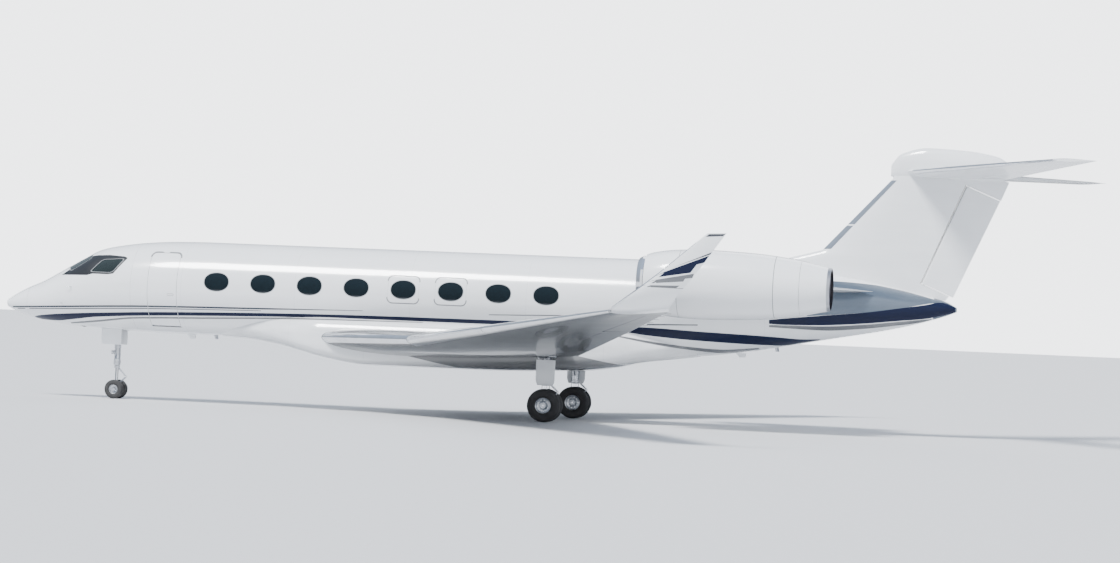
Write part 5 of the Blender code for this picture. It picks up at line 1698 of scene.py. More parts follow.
def nose_gear():
    x, axle_z = NOSE_GEAR_X, NOSE_TYRE[0]
    top = 2.30 - RUN - 0.025 - RUN
    rows = [
        (NOSE_LEG_BOTTOM, 0.06), (NOSE_LEG_BOTTOM, 0.098), (NOSE_LEG_BOTTOM + 0.02, 0.10), (1.07, 0.10),
        (1.09, 0.088), (1.10, 0.085), (1.42, 0.085), (1.43, 0.095), (1.50, 0.095), (1.51, 0.085),
        (top - 0.08, 0.085), (top - 0.06, 0.125), (top, 0.125),
    ]
    leg_tube("nose_gear_leg", x, 0, rows, STEEL, stands_for="nose_gear_leg")
    fit(
        tube("nose_drag_brace", ((x - 0.02, 0, 1.47), (-12.60, 0, top - 0.04)), 0.030, STEEL, 20),
    )
    for side, word in SIDES:
        strut = tube(
            "nose_side_strut_" + word, ((x, side * 0.07, 1.62), (x + 0.02, side * 0.20, top - 0.02)), 0.018,
            STEEL, 14
        )
        fit(strut)
        lamp = turned(
            "taxi_lamp_" + word,
            ((-12.045, 0.010), (-12.045, 0.048), (-12.035, 0.055), (-11.985, 0.04), (-11.97, 0.015)),
            (0, side * 0.10, 1.30), 0, 32, STEEL
        )
        fit(lamp)
        lens = turned(
            "taxi_lens_" + word, ((-12.052, 0.004), (-12.050, 0.030), (-12.044, 0.046)),
            (0, side * 0.10, 1.30), 0, 32, LAMP_GLASS
        )
        fit(lens)
        arm = tube(
            "taxi_lamp_arm_" + word,
            ((-11.99, side * 0.10, 1.30), (x - 0.02, side * 0.07, 1.30), (x, side * 0.05, 1.30)), 0.012,
            STEEL, 10
        )
        fit(arm)
    reach = NOSE_TRACK - NOSE_TYRE[1] * 0.78 - RUN
    fork = turned(
        "nose_gear_fork",
        (
            (-reach, 0.050), (-reach + 0.01, 0.058), (-0.04, 0.062), (0.04, 0.062), (reach - 0.01, 0.058),
            (reach, 0.050)
        ),
        (x, 0, axle_z), 1, 40, STEEL
    )
    piston = turned(
        "nose_piston",
        (
            (axle_z + 0.03, 0.05), (axle_z + 0.10, 0.056), (0.40, 0.05), (0.41, 0.047),
            (NOSE_LEG_BOTTOM + 0.02, 0.047)
        ),
        (x, 0, 0), 2, 40, CHROME
    )
    fit(fork, "nose_steering", "nose_gear_fork")
    fit(piston, "nose_steering")
    torque_link("nose_torque_link", x, 0, 0.89, 0.37, 0.29, 0.03, "nose_steering")
    collar = turned(
        "nose_steering_collar", ((0.86, 0.05), (0.86, 0.078), (0.93, 0.078), (0.945, 0.05)), (x, 0, 0), 2,
        36, STEEL
    )
    fit(collar, "nose_steering")
    for end, name in ((-1, "nose_tyre_left"), (1, "nose_tyre_right")):
        tyre(name, NOSE_TYRE, (x, end * NOSE_TRACK, axle_z), "nose_wheels")
    wheel_hubs("nose_wheel_hubs", NOSE_TYRE, NOSE_TRACK, 0.030, (x, 0, axle_z), "nose_wheels")
    nose_bay(top)


NOSE_DOOR_X = (-12.30, -11.72)


def nose_bay(top):
    """The wheel bay, open below, and the two doors that hang beside the leg."""
    wall = 0.012
    roof = 2.30 - RUN
    # Near-black wheel well: painted shade.
    bay = block("nose_wheel_well", (WELL_X[0], -WELL_HALF, 1.99), (WELL_X[1], WELL_HALF, roof), DARK_AND_CAVITY_SHADE)
    boolean(
        bay,
        block(
            "bay_room", (WELL_X[0] + wall, -WELL_HALF + wall, 1.0),
            (WELL_X[1] - wall, WELL_HALF - wall, top + 0.012), DARK_AND_CAVITY_SHADE
        )
    )
    boolean(bay, body_solid_below(), "INTERSECT")
    fit(bay, stands_for="nose_wheel_well")
    low, high = 1.52, 1.965
    front, rear = NOSE_DOOR_X
    for side, word in SIDES:
        rows = []
        for z in spaced(low, high, 0.05):
            bow = 0.012 * math.sin(math.pi * (z - low) / (high - low))
            rows.append(
                [Vector((x, side * (WELL_HALF - 0.006 + bow), z)) for x in spaced(front, rear, 0.08)]
            )
        panel = thickened_flat(sheet_of("nose_gear_door_" + word, rows, WHITE), 0.016)
        fit(bevelled(panel, 0.004))
        for k, hinge_x in enumerate((front + 0.08, rear - 0.08)):
            arm = tube(
                "door_hinge_arm_" + word + str(k),
                (
                    (hinge_x, side * (WELL_HALF - 0.016), 1.93), (hinge_x, side * (WELL_HALF - 0.03), 2.0),
                    (hinge_x, side * (WELL_HALF - 0.02), 2.06)
                ),
                0.009, STEEL, 10
            )
            fit(arm)


def thickened_flat(obj, depth):
    return modified(obj, "SOLIDIFY", thickness=depth, offset=0.0)


def body_solid_below():
    """The nose's inside, which trims the wheel bay to the skin."""
    return loft("nose_room", [body_ring(x, 0.004) for x in spaced(-13.4, -11.3, 0.12)], DARK_AND_CAVITY_SHADE)


def main_gear(side, word):
    x, y, axle_z = MAIN_GEAR_X, side * MAIN_GEAR_Y, MAIN_TYRE[0]
    top = POCKET_ROOF - RUN
    rows = [
        (0.97, 0.05), (0.97, 0.086), (0.985, 0.092), (1.05, 0.092), (1.06, 0.085), (1.24, 0.085),
        (1.25, 0.094), (1.31, 0.094), (1.32, 0.085), (top - 0.06, 0.085), (top - 0.05, 0.08),
        (top - 0.02, 0.05),
    ]
    name = "main_gear_leg_" + word
    leg_tube(name, x, y, rows, STEEL, stands_for=name)
    beam = turned(
        "main_trunnion_" + word,
        ((-0.25, 0.045), (-0.25, 0.06), (-0.20, 0.066), (0.20, 0.066), (0.25, 0.06), (0.25, 0.045)),
        (x, y, top - 0.067), 0, 32, STEEL
    )
    fit(beam)
    piston = turned("main_piston_" + word, ((axle_z + 0.05, 0.045), (0.99, 0.045)), (x, y, 0), 2, 36, CHROME)
    fit(piston)
    reach = MAIN_TRACK - MAIN_TYRE[1] * 0.78 - RUN
    carrier = turned(
        "main_axle_carrier_" + word,
        (
            (-reach, 0.075), (-reach + 0.012, 0.092), (-0.04, 0.10), (0.04, 0.10), (reach - 0.012, 0.092),
            (reach, 0.075)
        ),
        (x, y, axle_z), 1, 40, STEEL
    )
    fit(carrier)
    torque_link("main_torque_link_" + word, x, y, 1.10, 0.52, 0.36, 0.028, ROOT)
    for k, (foot, head) in enumerate(
        (
            ((x, y - side * 0.05, 1.20), (x + 0.02, y - side * 0.60, 1.72)),
            ((x - 0.05, y, 1.28), (x - 0.235, y, top - 0.10))
        )
    ):
        fit(
            tube("main_stay_" + word + str(k), (foot, head), 0.028 if k == 0 else 0.020, STEEL, 18),
        )
    for k, at in enumerate((0.10, -0.10)):
        line = tube(
            "brake_pipe_" + word + str(k),
            (
                (x + at, y, axle_z + 0.06), (x + at, y, 0.62), (x + at * 0.98, y, 0.95), (x + at, y, 1.3),
                (x + at * 0.7, y, 1.62), (x + at * 0.5, y, 1.74)
            ),
            0.008, SEAL, 8,
        )
        fit(line)
        for n, z in enumerate((0.66, 1.15, 1.5)):
            clip = turned(
                "pipe_clip_" + word + str(k) + str(n), ((z, 0.013), (z + 0.02, 0.013)), (x + at, y, 0), 2,
                12, STEEL
            )
            fit(clip)
    leg_door(side, word, x, y)
    body = "main_wheels_" + word
    for end, letter in ((-1, "a"), (1, "b")):
        tyre("main_tyre_" + word + "_" + letter, MAIN_TYRE, (x, y + end * MAIN_TRACK, axle_z), body)
    wheel_hubs("main_hubs_" + word, MAIN_TYRE, MAIN_TRACK, 0.050, (x, y, axle_z), body)


def leg_door(side, word, x, y):
    """The panel that closes over the leg, bowed like the wing's underside."""
    rows = []
    for z in spaced(0.98, 1.66, 0.06):
        bow = 0.010 * math.sin(math.pi * (z - 0.98) / 0.68)
        narrow = 0.26 - 0.05 * max(0.0, (1.15 - z) / 0.17) ** 2
        out = y + side * (0.122 + bow)
        rows.append([Vector((x + u * narrow, out, z)) for u in (-1, -0.6, -0.2, 0.2, 0.6, 1)])
    panel = thickened_flat(sheet_of("main_leg_door_" + word, rows, WHITE), 0.014)
    fit(bevelled(panel, 0.004))
    for k, z in enumerate((1.10, 1.50)):
        arm = tube(
            "leg_door_link_" + word + str(k), ((x, y + side * 0.07, z), (x, y + side * 0.118, z)), 0.014,
            STEEL, 12
        )
        fit(arm)


# Inside

def cabin():
    rings = []
    for x in [-13.10] + spaced(-12.9, -9.2, 0.3) + [REAR_SEAM - 0.08]:
        low, high = FLOOR_TOP - 0.06, FLOOR_TOP
        narrow, wide = (body_width(x, z, -WALL - 0.002) for z in (low, high))
        rings.append(
            [Vector((x, y, z)) for y, z in ((-narrow, low), (narrow, low), (wide, high), (-wide, high))]
        )
    fit(loft("cabin_floor", rings, CARPET), stands_for="cabin_floor")
    x, foot = -11.08, FLOOR_TOP + RUN
    ring = [p for p in body_ring(x, WALL + 0.001) if p.z > foot]
    outline = sorted(((p.y, p.z) for p in ring), key=lambda p: math.atan2(p[1] - foot, p[0]))
    doorway = [
        (-0.32, foot), (-0.32, foot + 1.74), (-0.26, foot + 1.80), (0.26, foot + 1.80), (0.32, foot + 1.74),
        (0.32, foot)
    ]
    edge = body_width(x, foot, -WALL - 0.001)
    wall = prism(
        "cockpit_bulkhead", [(edge, foot)] + outline + [(-edge, foot)] + doorway, 0, x, x + 0.04, WOOD_TRIM
    )
    fit(wall, stands_for="cockpit_bulkhead")
    rings = [body_ring(x, WALL + 0.001) for x in (REAR_SEAM - 0.06, REAR_SEAM - 0.01)]
    fit(loft("aft_bulkhead", rings, LINING), stands_for="aft_bulkhead")


SEAT_PLACES = ((-7.95, -1), (-6.65, 1), (-5.30, -1), (-4.00, 1), (-2.65, -1), (-1.35, 1), (-0.10, 1))
SEAT_ROW = 0.62


def pillow(name, low, high, crown, finish=None):
    """A crowned cushion: its sides pull in between its corners and its faces swell."""
    mesh_box = block(name, low, high, finish or LEATHER)
    form = bmesh.new()
    form.from_mesh(mesh_box.data)
    bmesh.ops.subdivide_edges(form, edges=form.edges, cuts=7, use_grid_fill=True)
    middle = (Vector(low) + Vector(high)) / 2
    half = (Vector(high) - Vector(low)) / 2
    for vertex in form.verts:
        share = Vector([(vertex.co[i] - middle[i]) / half[i] for i in range(3)])
        for i in range(3):
            a, b = [share[j] for j in range(3) if j != i]
            swell = (1 - a * a) * (1 - b * b)
            vertex.co[i] += crown * share[i] * swell
            pinch = 0.35 * crown * (a * a + b * b) * abs(share[i]) ** 4
            vertex.co[i] -= pinch * math.copysign(1, share[i])
    form.to_mesh(mesh_box.data)
    form.free()
    return mesh_box


def stuffed(obj, pressure, cap):
    """Inflates a cushion with a short cloth run, holding every point within a cap of where it began."""
    modified(obj, "REMESH", mode="VOXEL", voxel_size=0.022, use_smooth_shade=True)
    rest = [vertex.co.copy() for vertex in obj.data.vertices]
    cloth = obj.modifiers.new("Fill", "CLOTH")
    cloth.settings.use_pressure = True
    cloth.settings.uniform_pressure_force = pressure
    cloth.settings.effector_weights.gravity = 0.0
    scene = bpy.context.scene
    for step in range(1, 15):
        scene.frame_set(step)
    scope = bpy.context.evaluated_depsgraph_get()
    swollen = [vertex.co.copy() for vertex in obj.evaluated_get(scope).data.vertices]
    obj.modifiers.clear()
    scene.frame_set(1)
    for vertex, start, end in zip(obj.data.vertices, rest, swollen):
        move = end - start
        vertex.co = start + (move if move.length < cap else move.normalized() * cap)
    return modified(obj, "SUBSURF", levels=1, render_levels=1)


def seat_pads():
    """One set of seat cushions, made once and set down at every place."""
    seat = stuffed(pillow("pad_seat", (-0.27, -0.235, 0.29), (0.17, 0.235, 0.40), 0.016), 3.0, 0.012)
    back = stuffed(pillow("pad_back", (0.16, -0.225, 0.42), (0.27, 0.225, 1.00), 0.016), 3.0, 0.012)
    head = stuffed(pillow("pad_head", (0.165, -0.15, 0.965), (0.255, 0.15, 1.10), 0.012), 3.0, 0.010)
    for vertex in list(back.data.vertices) + list(head.data.vertices):
        vertex.co.x += 0.14 * (vertex.co.z - 0.42)
    for pad in (back, head):
        pad.data.update()
    return {"cushion": seat, "back": back, "headrest": head}


def channelled(obj):
    """Sewn channels across the pads, pressed in after the filling."""
    for vertex in obj.data.vertices:
        across = abs((vertex.co.y * 100) % 15.5 - 7.75)
        dent = 0.004 * max(0.0, 1 - across / 0.9)
        vertex.co.z -= dent if vertex.co.z > 0.36 and vertex.co.x < 0.15 else 0.0
    return obj


def set_down(pad, name, places, finish=None):
    """Copies of one pad joined in place: places are (x, y, facing)."""
    form = bmesh.new()
    for x, y, facing in places:
        start = len(form.verts)
        form.from_mesh(pad.data)
        form.verts.ensure_lookup_table()
        for vertex in form.verts[start:]:
            vertex.co = Vector((x + facing * vertex.co.x, y + facing * vertex.co.y, FLOOR_TOP + vertex.co.z))
    mesh = bpy.data.meshes.new(name)
    form.to_mesh(mesh)
    form.free()
    mesh.materials.append(finish or LEATHER)
    whole = bpy.data.objects.new(name, mesh)
    bpy.context.scene.collection.objects.link(whole)
    return whole


def seats():
    pads = seat_pads()
    channelled(pads["cushion"])
    cabin_places = [(x, side * SEAT_ROW, facing) for side, _ in SIDES for x, facing in SEAT_PLACES]
    pilot_places = [(-12.05, side * 0.50, 1) for side, _ in SIDES]
    for kind, pad in pads.items():
        for group, places in (("cabin_seat_", cabin_places), ("pilot_seat_", pilot_places)):
            piece = set_down(pad, group + kind, places)
            fit(piece, angle=70)
        bpy.data.objects.remove(pad)
    shells = seat_shell()
    for group, places, node in (
        ("cabin_seat_", cabin_places, "cabin_seats"), ("pilot_seat_", pilot_places, "pilot_seats")
    ):
        frame_piece = set_down(shells, group + "frames", places, PLASTIC)
        fit(frame_piece, stands_for=node)
    bpy.data.objects.remove(shells)
    for side, word in SIDES:
        rail = block(
            "seat_rail_" + word, (-8.4, side * SEAT_ROW - 0.16, FLOOR_TOP),
            (0.5, side * SEAT_ROW - 0.12, FLOOR_TOP + 0.02), STEEL, 0.004
        )
        fit(rail)


def seat_shell():
    """The hard parts of a seat: pedestal, pan, arms and back shell."""
    parts = [
        block("pedestal", (-0.16, -0.16, 0.02), (0.18, 0.16, 0.24), PLASTIC, 0.02),
        block("pan", (-0.26, -0.25, 0.23), (0.25, 0.25, 0.295), PLASTIC, 0.02),
        prism(
            "shell", ((0.24, 0.24), (0.245, 0.42), (0.345, 1.02), (0.37, 1.02), (0.30, 0.42), (0.285, 0.24)),
            1, -0.235, 0.235, PLASTIC
        ),
    ]
    for side in (-1, 1):
        arm = block(
            "arm", (-0.18, side * 0.262 - 0.022, 0.50), (0.24, side * 0.262 + 0.022, 0.545), LEATHER, 0.014
        )
        post = block(
            "post", (0.10, side * 0.262 - 0.012, 0.26), (0.18, side * 0.262 + 0.012, 0.51), PLASTIC, 0.006
        )
        parts += [arm, post]
    for part in parts:
        single(part, PLASTIC)
    return joined("seat_shell", parts)


def flight_deck():
    foot = FLOOR_TOP + RUN
    shape = (
        (-12.98, 3.08), (-13.06, 3.19), (-13.02, 3.29), (-12.93, 3.335), (-12.72, 3.34), (-12.70, 3.32),
        (-12.86, 3.28), (-12.80, 2.95)
    )
    panel = prism("instrument_panel", shape, 1, -0.60, 0.60, PLASTIC)
    fit(bevelled(panel, 0.01), stands_for="instrument_panel")
    pedestal_shape = (
        (-12.98, foot), (-12.98, 3.05), (-12.79, 2.97), (-12.55, 2.86), (-12.20, 2.80), (-12.20, foot)
    )
    fit(
        bevelled(prism("centre_pedestal", pedestal_shape, 1, -0.16, 0.16, PLASTIC), 0.012),
    )
    for k, y in enumerate((-0.43, -0.15, 0.15, 0.43)):
        slope = Vector((0.06, 0, -0.33)).normalized()
        face = Vector((-12.853, y, 3.265))
        corners = [
            face + ACROSS * a + slope * b + Vector((0.006, 0, 0))
            for a, b in ((-0.12, 0), (0.12, 0), (0.12, 0.19), (-0.12, 0.19))
        ]
        back = [corner - Vector((0.012, 0, 0)) for corner in corners]
        screen = loft("flight_display_" + str(k + 1), [corners, back], DISPLAY)
        fit(screen)
    lever = block("lever", (-0.012, -0.006, 0.0), (0.012, 0.006, 0.09), STEEL, 0.004)
    levers = grown(
        "thrust_levers", LINE_TREE, STEEL, Item=lever, Count=4, Start=(-12.50, -0.075, 2.84),
        End=(-12.50, 0.075, 2.84), End_Size=1.0
    )
    used_up(lever)
    fit(levers)


def airstair():
    """Stair sides and treads with grip strips on the inside of the door."""
    body = "entry_door"
    middle = (DOOR_X[0] + DOOR_X[1]) / 2
    heights = [2.55 + 0.20 * k for k in range(8)]
    outer = [(-body_width(middle, z, -WALL + 0.015), z) for z in heights]
    inner = [(-body_width(middle, z, -WALL - 0.11), z) for z in reversed(heights)]
    for word, x in (("front", DOOR_X[0] + 0.10), ("rear", DOOR_X[1] - 0.13)):
        side = prism("stair_side_" + word, outer + inner, 0, x, x + 0.03, STEEL)
        fit(bevelled(side, 0.004), body)
    for k, z in enumerate(heights[:-1]):
        root = Vector((-body_width(middle, z, -WALL + 0.008), z + 0.02))
        depth = Vector((1, 1)).normalized() * 0.25
        thick = Vector((1, -1)).normalized() * 0.022
        outline = [tuple(p) for p in (root, root + depth, root + depth + thick, root + thick)]
        tread = prism("stair_tread_" + str(k + 1), outline, 0, DOOR_X[0] + 0.115, DOOR_X[1] - 0.115, STEEL)
        fit(bevelled(tread, 0.004), body)
        lift = Vector((-1, 1)).normalized() * 0.002
        near, far = root + depth * 0.15, root + depth * 0.92
        grip = [tuple(p) for p in (near + lift, far + lift, far, near)]
        fit(
            prism("stair_grip_" + str(k + 1), grip, 0, DOOR_X[0] + 0.14, DOOR_X[1] - 0.14, RUBBER), body,
        )
    y, z = -body_width(DOOR_X[0], DOOR_Z[0] - 0.002), DOOR_Z[0] - 0.002
    barrel = turned(
        "door_hinge_tube", ((DOOR_X[0] - 0.0077, 0.012), (DOOR_X[1] + 0.0077, 0.012)), (0, y, z), 0, 20,
        STEEL
    )
    fit(barrel, body)
    edge_line(
        "door_handle", rounded_rectangle((-10.02, 2.98), (0.085, 0.022), 0.02, 4), -1, 0.008, body=body
    )


# Stripes: station, upper edge, lower edge, all in metres on the fuselage side

NAVY_BODY = (
    (-14.30, 2.215, 2.160), (-14.10, 2.250, 2.135), (-13.60, 2.305, 2.125), (-12.99, 2.350, 2.190),
    (-12.32, 2.390, 2.275), (-10.59, 2.478, 2.380), (-8.35, 2.555, 2.459), (-6.35, 2.606, 2.512),
    (-4.08, 2.640, 2.540), (-2.12, 2.652, 2.546), (-0.17, 2.660, 2.552), (1.60, 2.655, 2.540),
    (2.60, 2.640, 2.510),
)
AFT_NAVY = (
    (2.62, 2.640, 2.508), (3.20, 2.640, 2.437), (4.74, 2.590, 2.342), (6.33, 2.546, 2.303),
    (6.84, 2.525, 2.302), (7.40, 2.500, 2.400), (7.90, 2.520, 2.500)
)
AFT_THIN = ((3.32, 2.740, 2.704), (4.70, 2.781, 2.749))
AFT_GREY = (
    (2.59, 2.384, 2.343), (3.64, 2.241, 2.172), (4.40, 2.170, 2.085), (5.24, 2.130, 2.030),
    (6.28, 2.220, 2.175)
)
UPPER_BODY = (
    (-14.97, 2.477, 2.435), (-13.40, 2.547, 2.499), (-10.65, 2.657, 2.610), (-7.44, 2.723, 2.679),
    (-6.33, 2.741, 2.714), (-4.55, 2.771, 2.760)
)
SECOND_BODY = ((-14.80, 2.425, 2.405), (-13.40, 2.475, 2.450), (-10.65, 2.585, 2.560), (-7.44, 2.652, 2.634))
LOWER_BODY = (
    (-13.18, 2.090, 2.055), (-12.25, 2.193, 2.142), (-11.18, 2.314, 2.269), (-9.24, 2.390, 2.345),
    (-6.36, 2.488, 2.449), (-2.85, 2.521, 2.504)
)
MIDDLE_BODY = ((-1.02, 2.812, 2.790), (1.68, 2.898, 2.872))
TAIL_NAVY = (
    (6.60, 2.985, 2.880), (6.89, 3.024, 2.870), (7.94, 3.150, 2.900), (9.06, 3.279, 2.990),
    (10.03, 3.441, 3.108), (10.70, 3.560, 3.190), (11.10, 3.640, 3.290), (11.47, 3.530, 3.400),
)
TAIL_GREY = (
    (6.60, 2.850, 2.790), (7.94, 2.870, 2.760), (9.06, 2.960, 2.850), (10.03, 3.085, 2.990),
    (10.85, 3.190, 3.130)
)
TAIL_BLUE = (
    (7.60, 4.10, 3.13), (8.35, 4.095, 3.20), (9.21, 4.05, 3.30), (10.00, 3.93, 3.43), (10.80, 3.745, 3.60),
    (11.12, 3.66, 3.65)
)


def stripe(
    name, rows, finish, proud=0.0018, onto=("cabin_shell", "nose_section", "radome"), step=0.07, sides=SIDES
):
    """A painted band laid on the skin behind it, seen from the side, and split where the door opens."""
    read = smooth_table(rows)
    door = rows[0][0] < DOOR_X[0] and rows[-1][0] > DOOR_X[1]
    across = max(6, round(max(high - low for _, high, low in rows) / 0.03))
    for side, word in sides:
        spans = [(rows[0][0], rows[-1][0], ROOT, onto)]
        if side < 0 and door:
            spans = [
                (rows[0][0], DOOR_X[0] - 0.012, ROOT, onto),
                (DOOR_X[0] + 0.004, DOOR_X[1] - 0.004, "entry_door", ("entry_door",)),
                (DOOR_X[1] + 0.012, rows[-1][0], ROOT, onto),
            ]
        for part, (start, end, rides, surfaces) in enumerate(spans):
            lines = [
                [(x, mix(read(x)[0], read(x)[1], k / across)) for k in range(across + 1)]
                for x in spaced(start, end, step)
            ]
            tag = name + "_" + word + ("_" + str(part) if len(spans) > 1 else "")
            laid(tag, lines, side, surfaces, finish, proud, rides)


def laid(name, lines, side, surfaces, finish, proud, body):
    """A film laid on the pieces named, from points given as (x, z) and seen from one side."""
    trees = [surface_tree(surface) for surface in surfaces]
    points, faces = [], []
    wide = len(lines[0])
    for line in lines:
        for x, z in line:
            hits = []
            for tree in trees:
                spot, normal, _, _ = tree.ray_cast(Vector((x, side * 18.0, z)), Vector((0, -side, 0)))
                if spot is not None:
                    hits.append((spot, normal if normal.y * side > 0 else -normal))
            best = max(hits, key=lambda hit: side * hit[0].y) if hits else None
            points.append(best[0] + best[1] * proud if best else None)
    for i in range(len(lines) - 1):
        for k in range(wide - 1):
            corners = (i * wide + k, i * wide + k + 1, (i + 1) * wide + k + 1, (i + 1) * wide + k)
            if all(points[c] is not None for c in corners):
                spread = [points[c].y for c in corners]
                if max(spread) - min(spread) < 0.35:
                    faces.append(corners)
    kept = sorted({c for face in faces for c in face})
    place = {c: n for n, c in enumerate(kept)}
    film = bare_object(
        name, [points[c] for c in kept], [tuple(place[c] for c in face) for face in faces], finish
    )
    if film.data.polygons[0].normal.y * side < 0:
        film.data.flip_normals()
    modified(film, "SOLIDIFY", thickness=proud + 0.001, offset=-1)
    return fit(film, body, angle=70)


TREES = {}


def surface_tree(name):
    if name not in TREES:
        mesh = FITTED[name].data
        TREES[name] = BVHTree.FromPolygons(
            [v.co for v in mesh.vertices], [face.vertices for face in mesh.polygons]
        )
    return TREES[name]


def quilt(corners, across, along):
    """A grid of points over a four-cornered patch."""
    a, b, c, d = [Vector(corner) for corner in corners]
    return [
        [tuple(a.lerp(b, i / along).lerp(d.lerp(c, i / along), k / across)) for k in range(across + 1)]
        for i in range(along + 1)
    ]


def stripes():
    rear = ("cabin_shell", "rear_fuselage", "belly_fairing", "tail_cone")
    stripe("navy_band", NAVY_BODY, NAVY)
    stripe("upper_pinstripe", UPPER_BODY, DARK_STRIPE)
    stripe("second_pinstripe", SECOND_BODY, DARK_STRIPE)
    stripe("lower_pinstripe", LOWER_BODY, GREY_STRIPE, onto=("cabin_shell", "nose_section", "belly_fairing"))
    stripe("middle_pinstripe", MIDDLE_BODY, GREY_STRIPE)
    stripe("aft_pinstripe", AFT_THIN, GREY_STRIPE, onto=rear)
    stripe("aft_navy", AFT_NAVY, NAVY, onto=rear, proud=0.0024)
    stripe("aft_grey", AFT_GREY, GREY_STRIPE, onto=rear)
    stripe("tail_navy", TAIL_NAVY, NAVY, proud=0.0034, onto=rear)
    stripe("tail_grey", TAIL_GREY, GREY_STRIPE, onto=rear)
    stripe("tail_blue", TAIL_BLUE, STEEL_BLUE, onto=rear + ("vertical_fin",))
    for side, word in SIDES:
        for k, (corners, finish) in enumerate(WINGLET_MARKS):
            laid(
                "winglet_mark_" + word + "_" + str(k), quilt(corners, 6, 14), side, ("winglet_" + word,),
                finish, 0.0018, ROOT
            )


WINGLET_MARKS = (
    (((5.53, 3.80), (5.83, 3.95), (6.86, 4.36), (6.62, 3.99)), NAVY),
    (((5.36, 3.67), (5.60, 3.76), (6.52, 3.94), (6.46, 3.77)), GREY_STRIPE),
    (((5.27, 3.60), (5.40, 3.64), (6.35, 3.66), (6.27, 3.59)), GREY_STRIPE),
    (((6.00, 4.05), (6.30, 4.17), (6.92, 4.44), (6.89, 4.39)), DARK_STRIPE),
    (((6.69, 4.775), (6.77, 4.84), (7.22, 4.86), (7.17, 4.81)), DARK_STRIPE),
)


# Floor, light and camera

CAMERA_PLACE = (17.10, -88.36, 2.89)
CAMERA_TURN, CAMERA_ROLL = 10.95, 2.44
LENS, SENSOR = 105.3, 36.0
# The photo's width, and how far its optical centre lies from the middle, in pixels
PHOTO_WIDTH, OFF_CENTRE = 1120, (23.4, -32.0)


def studio():
    floor = sheet_of(
        "studio_floor", [[Vector((x, y, 0.0)) for x in (-400, 0, 400)] for y in (-400, 0, 400)], FLOOR_PAINT
    )
    world = bpy.data.worlds.new("soft_studio")
    bpy.context.scene.world = world
    world.use_nodes = True
    tree = world.node_tree
    sky = tree.nodes["Background"]
    place = add(tree, "ShaderNodeTexCoord").outputs["Generated"]
    height = add(tree, "ShaderNodeSeparateXYZ", Vector=place).outputs["Z"]
    ramp = add(
        tree, "ShaderNodeValToRGB",
        Fac=add(tree, "ShaderNodeMapRange", Value=height, From_Min=-0.1, From_Max=0.9).outputs[0]
    )
    ramp.color_ramp.elements[0].color = (0.42, 0.45, 0.49, 1)
    ramp.color_ramp.elements[1].color = (0.62, 0.76, 1.0, 1)
    tree.links.new(ramp.outputs["Color"], sky.inputs["Color"])
    sky.inputs["Strength"].default_value = 0.95
    backdrop = add(tree, "ShaderNodeBackground", Color=(0.95, 0.97, 1.0, 1.0), Strength=4.0)
    seen = add(tree, "ShaderNodeLightPath").outputs["Is Camera Ray"]
    whole = add(tree, "ShaderNodeMixShader", Fac=seen, _1=sky.outputs[0], _2=backdrop.outputs[0])
    tree.links.new(whole.outputs[0], tree.nodes["World Output"].inputs["Surface"])
    for name, aim, spread, power in (
        ("key_light", (0.28, 0.46, -0.84), 16, 6.6),
        ("fill_light", (-0.45, 0.80, -0.40), 60, 0.9),
        ("back_light", (-0.2, -0.8, -0.55), 40, 0.8),
    ):
        lamp = bpy.data.lights.new(name, "SUN")
        lamp.angle, lamp.energy = math.radians(spread), power
        obj = bpy.data.objects.new(name, lamp)
        obj.rotation_euler = Vector(aim).to_track_quat("-Z", "Y").to_euler()
        bpy.context.scene.collection.objects.link(obj)


def camera():
    """The photograph's viewpoint: a long lens well off to the left, level with the wings, rolled slightly."""
    data = bpy.data.cameras.new("photo_camera")
    data.lens, data.sensor_width, data.clip_end = LENS, SENSOR, 1200.0
    obj = bpy.data.objects.new("photo_camera", data)
    turn = math.radians(CAMERA_TURN)
    focal = LENS / SENSOR * PHOTO_WIDTH
    right = Vector((math.cos(turn), math.sin(turn), 0))
    ahead = Vector((-math.sin(turn), math.cos(turn), 0))
    roll = math.radians(CAMERA_ROLL)
    flat_x = math.cos(roll) * OFF_CENTRE[0]
    flat_y = -math.sin(roll) * OFF_CENTRE[0] + OFF_CENTRE[1]
    view = (ahead * focal + right * flat_x - UP * flat_y).normalized()
    side = view.cross(UP).normalized()
    top = side.cross(view)
    x_axis = side * math.cos(roll) + top * math.sin(roll)
    y_axis = top * math.cos(roll) - side * math.sin(roll)
    columns = (x_axis, y_axis, -view, CAMERA_PLACE)
    obj.matrix_world = Matrix([[column[i] for column in columns] for i in range(3)] + [[0, 0, 0, 1]])
    bpy.context.scene.collection.objects.link(obj)
    bpy.context.scene.camera = obj


WICK_SPAN, WICKS = (11.0, 13.6), 5


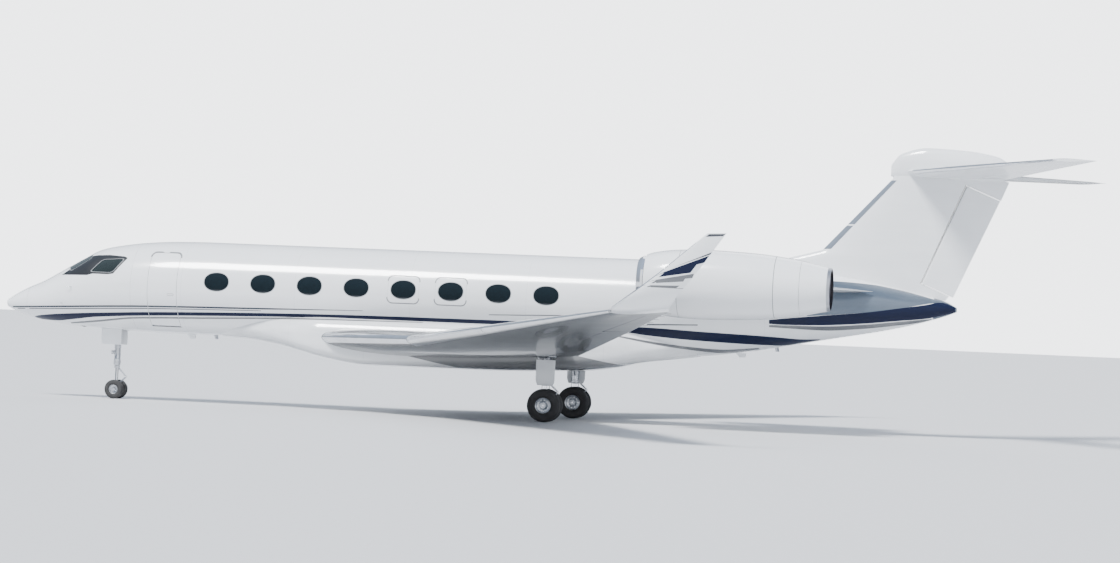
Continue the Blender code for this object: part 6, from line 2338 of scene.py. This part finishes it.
def detail():
    """Air data probes, static wicks, aerial blades and drain masts."""
    for side, word in SIDES:
        for k, (x, z) in enumerate(((-13.02, 3.08), (-13.29, 2.62))):
            root = on_body(x, z, side, -0.01)
            out = root + Vector((-0.02, side * 0.07, 0))
            bend, tip = out + Vector((-0.02, side * 0.004, 0)), out + Vector((-0.13, side * 0.005, 0))
            name = "air_data_probe_" + word + str(k)
            probe = tube(name, (root, out, bend, tip), [0.016, 0.010, 0.008, 0.005], STEEL, 14)
            fit(probe)
        start, end = (mirrored(wing_point(WING, y, 0.997)[0], side) for y in WICK_SPAN)
        wick = turned("wick", ((0.0, 0.005), (0.13, 0.003), (0.14, 0.001)), (0, 0, 0), 0, 8, DARK_AND_CAVITY_SHADE)
        row = grown(
            "static_wicks_" + word, LINE_TREE, DARK_AND_CAVITY_SHADE, Item=wick, Count=WICKS, Start=tuple(start),
            End=tuple(end), End_Size=1.0
        )
        used_up(wick)
        fit(row, "aileron_" + word)
    for name, x, tall in (("vhf_aerial_lower", -9.90, 0.13), ("vhf_aerial_rear", 5.60, 0.12)):
        base = body_at(x)[2] + 0.01
        rings = []
        for share in (0.0, 0.5, 0.9, 1.0):
            z = base - tall * share
            front, rear = (x + 0.10 * share, 0, z), (x + 0.28 - 0.02 * share, 0, z)
            rings.append(section_ring(front, rear, ACROSS, 0.10 * (1 - 0.5 * share)))
        fit(loft(name, rings, WHITE))
    for x, z_top, name in ((-9.2, 1.90, "drain_mast_front"), (6.6, 2.24, "drain_mast_rear")):
        rings = []
        for s in (0, 0.6, 1):
            z = z_top + 0.05 - 0.16 * s
            rings.append(section_ring((x + 0.05 * s, 0.25, z), (x + 0.12 + 0.03 * s, 0.25, z), ACROSS, 0.12))
        fit(loft(name, rings, STEEL))


def build():
    nose_and_radome()
    flight_deck_windows()
    cabin_shell()
    tail()
    belly()
    for side, word in SIDES:
        wing(side, word)
        nacelle(side, word)
        engine_core(side, word)
        fan(side, word)
        pylon(side, word)
        main_gear(side, word)
    fin_and_rudder()
    tailplane()
    nose_gear()
    cabin()
    seats()
    flight_deck()
    airstair()
    stripes()
    detail()
    name_windows()
    studio()
    camera()


def name_windows():
    """Hides the CAD's row of cabin windows on each side; the panes built above take its place."""
    for _, word in SIDES:
        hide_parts("cabin_windows_" + word)


build()
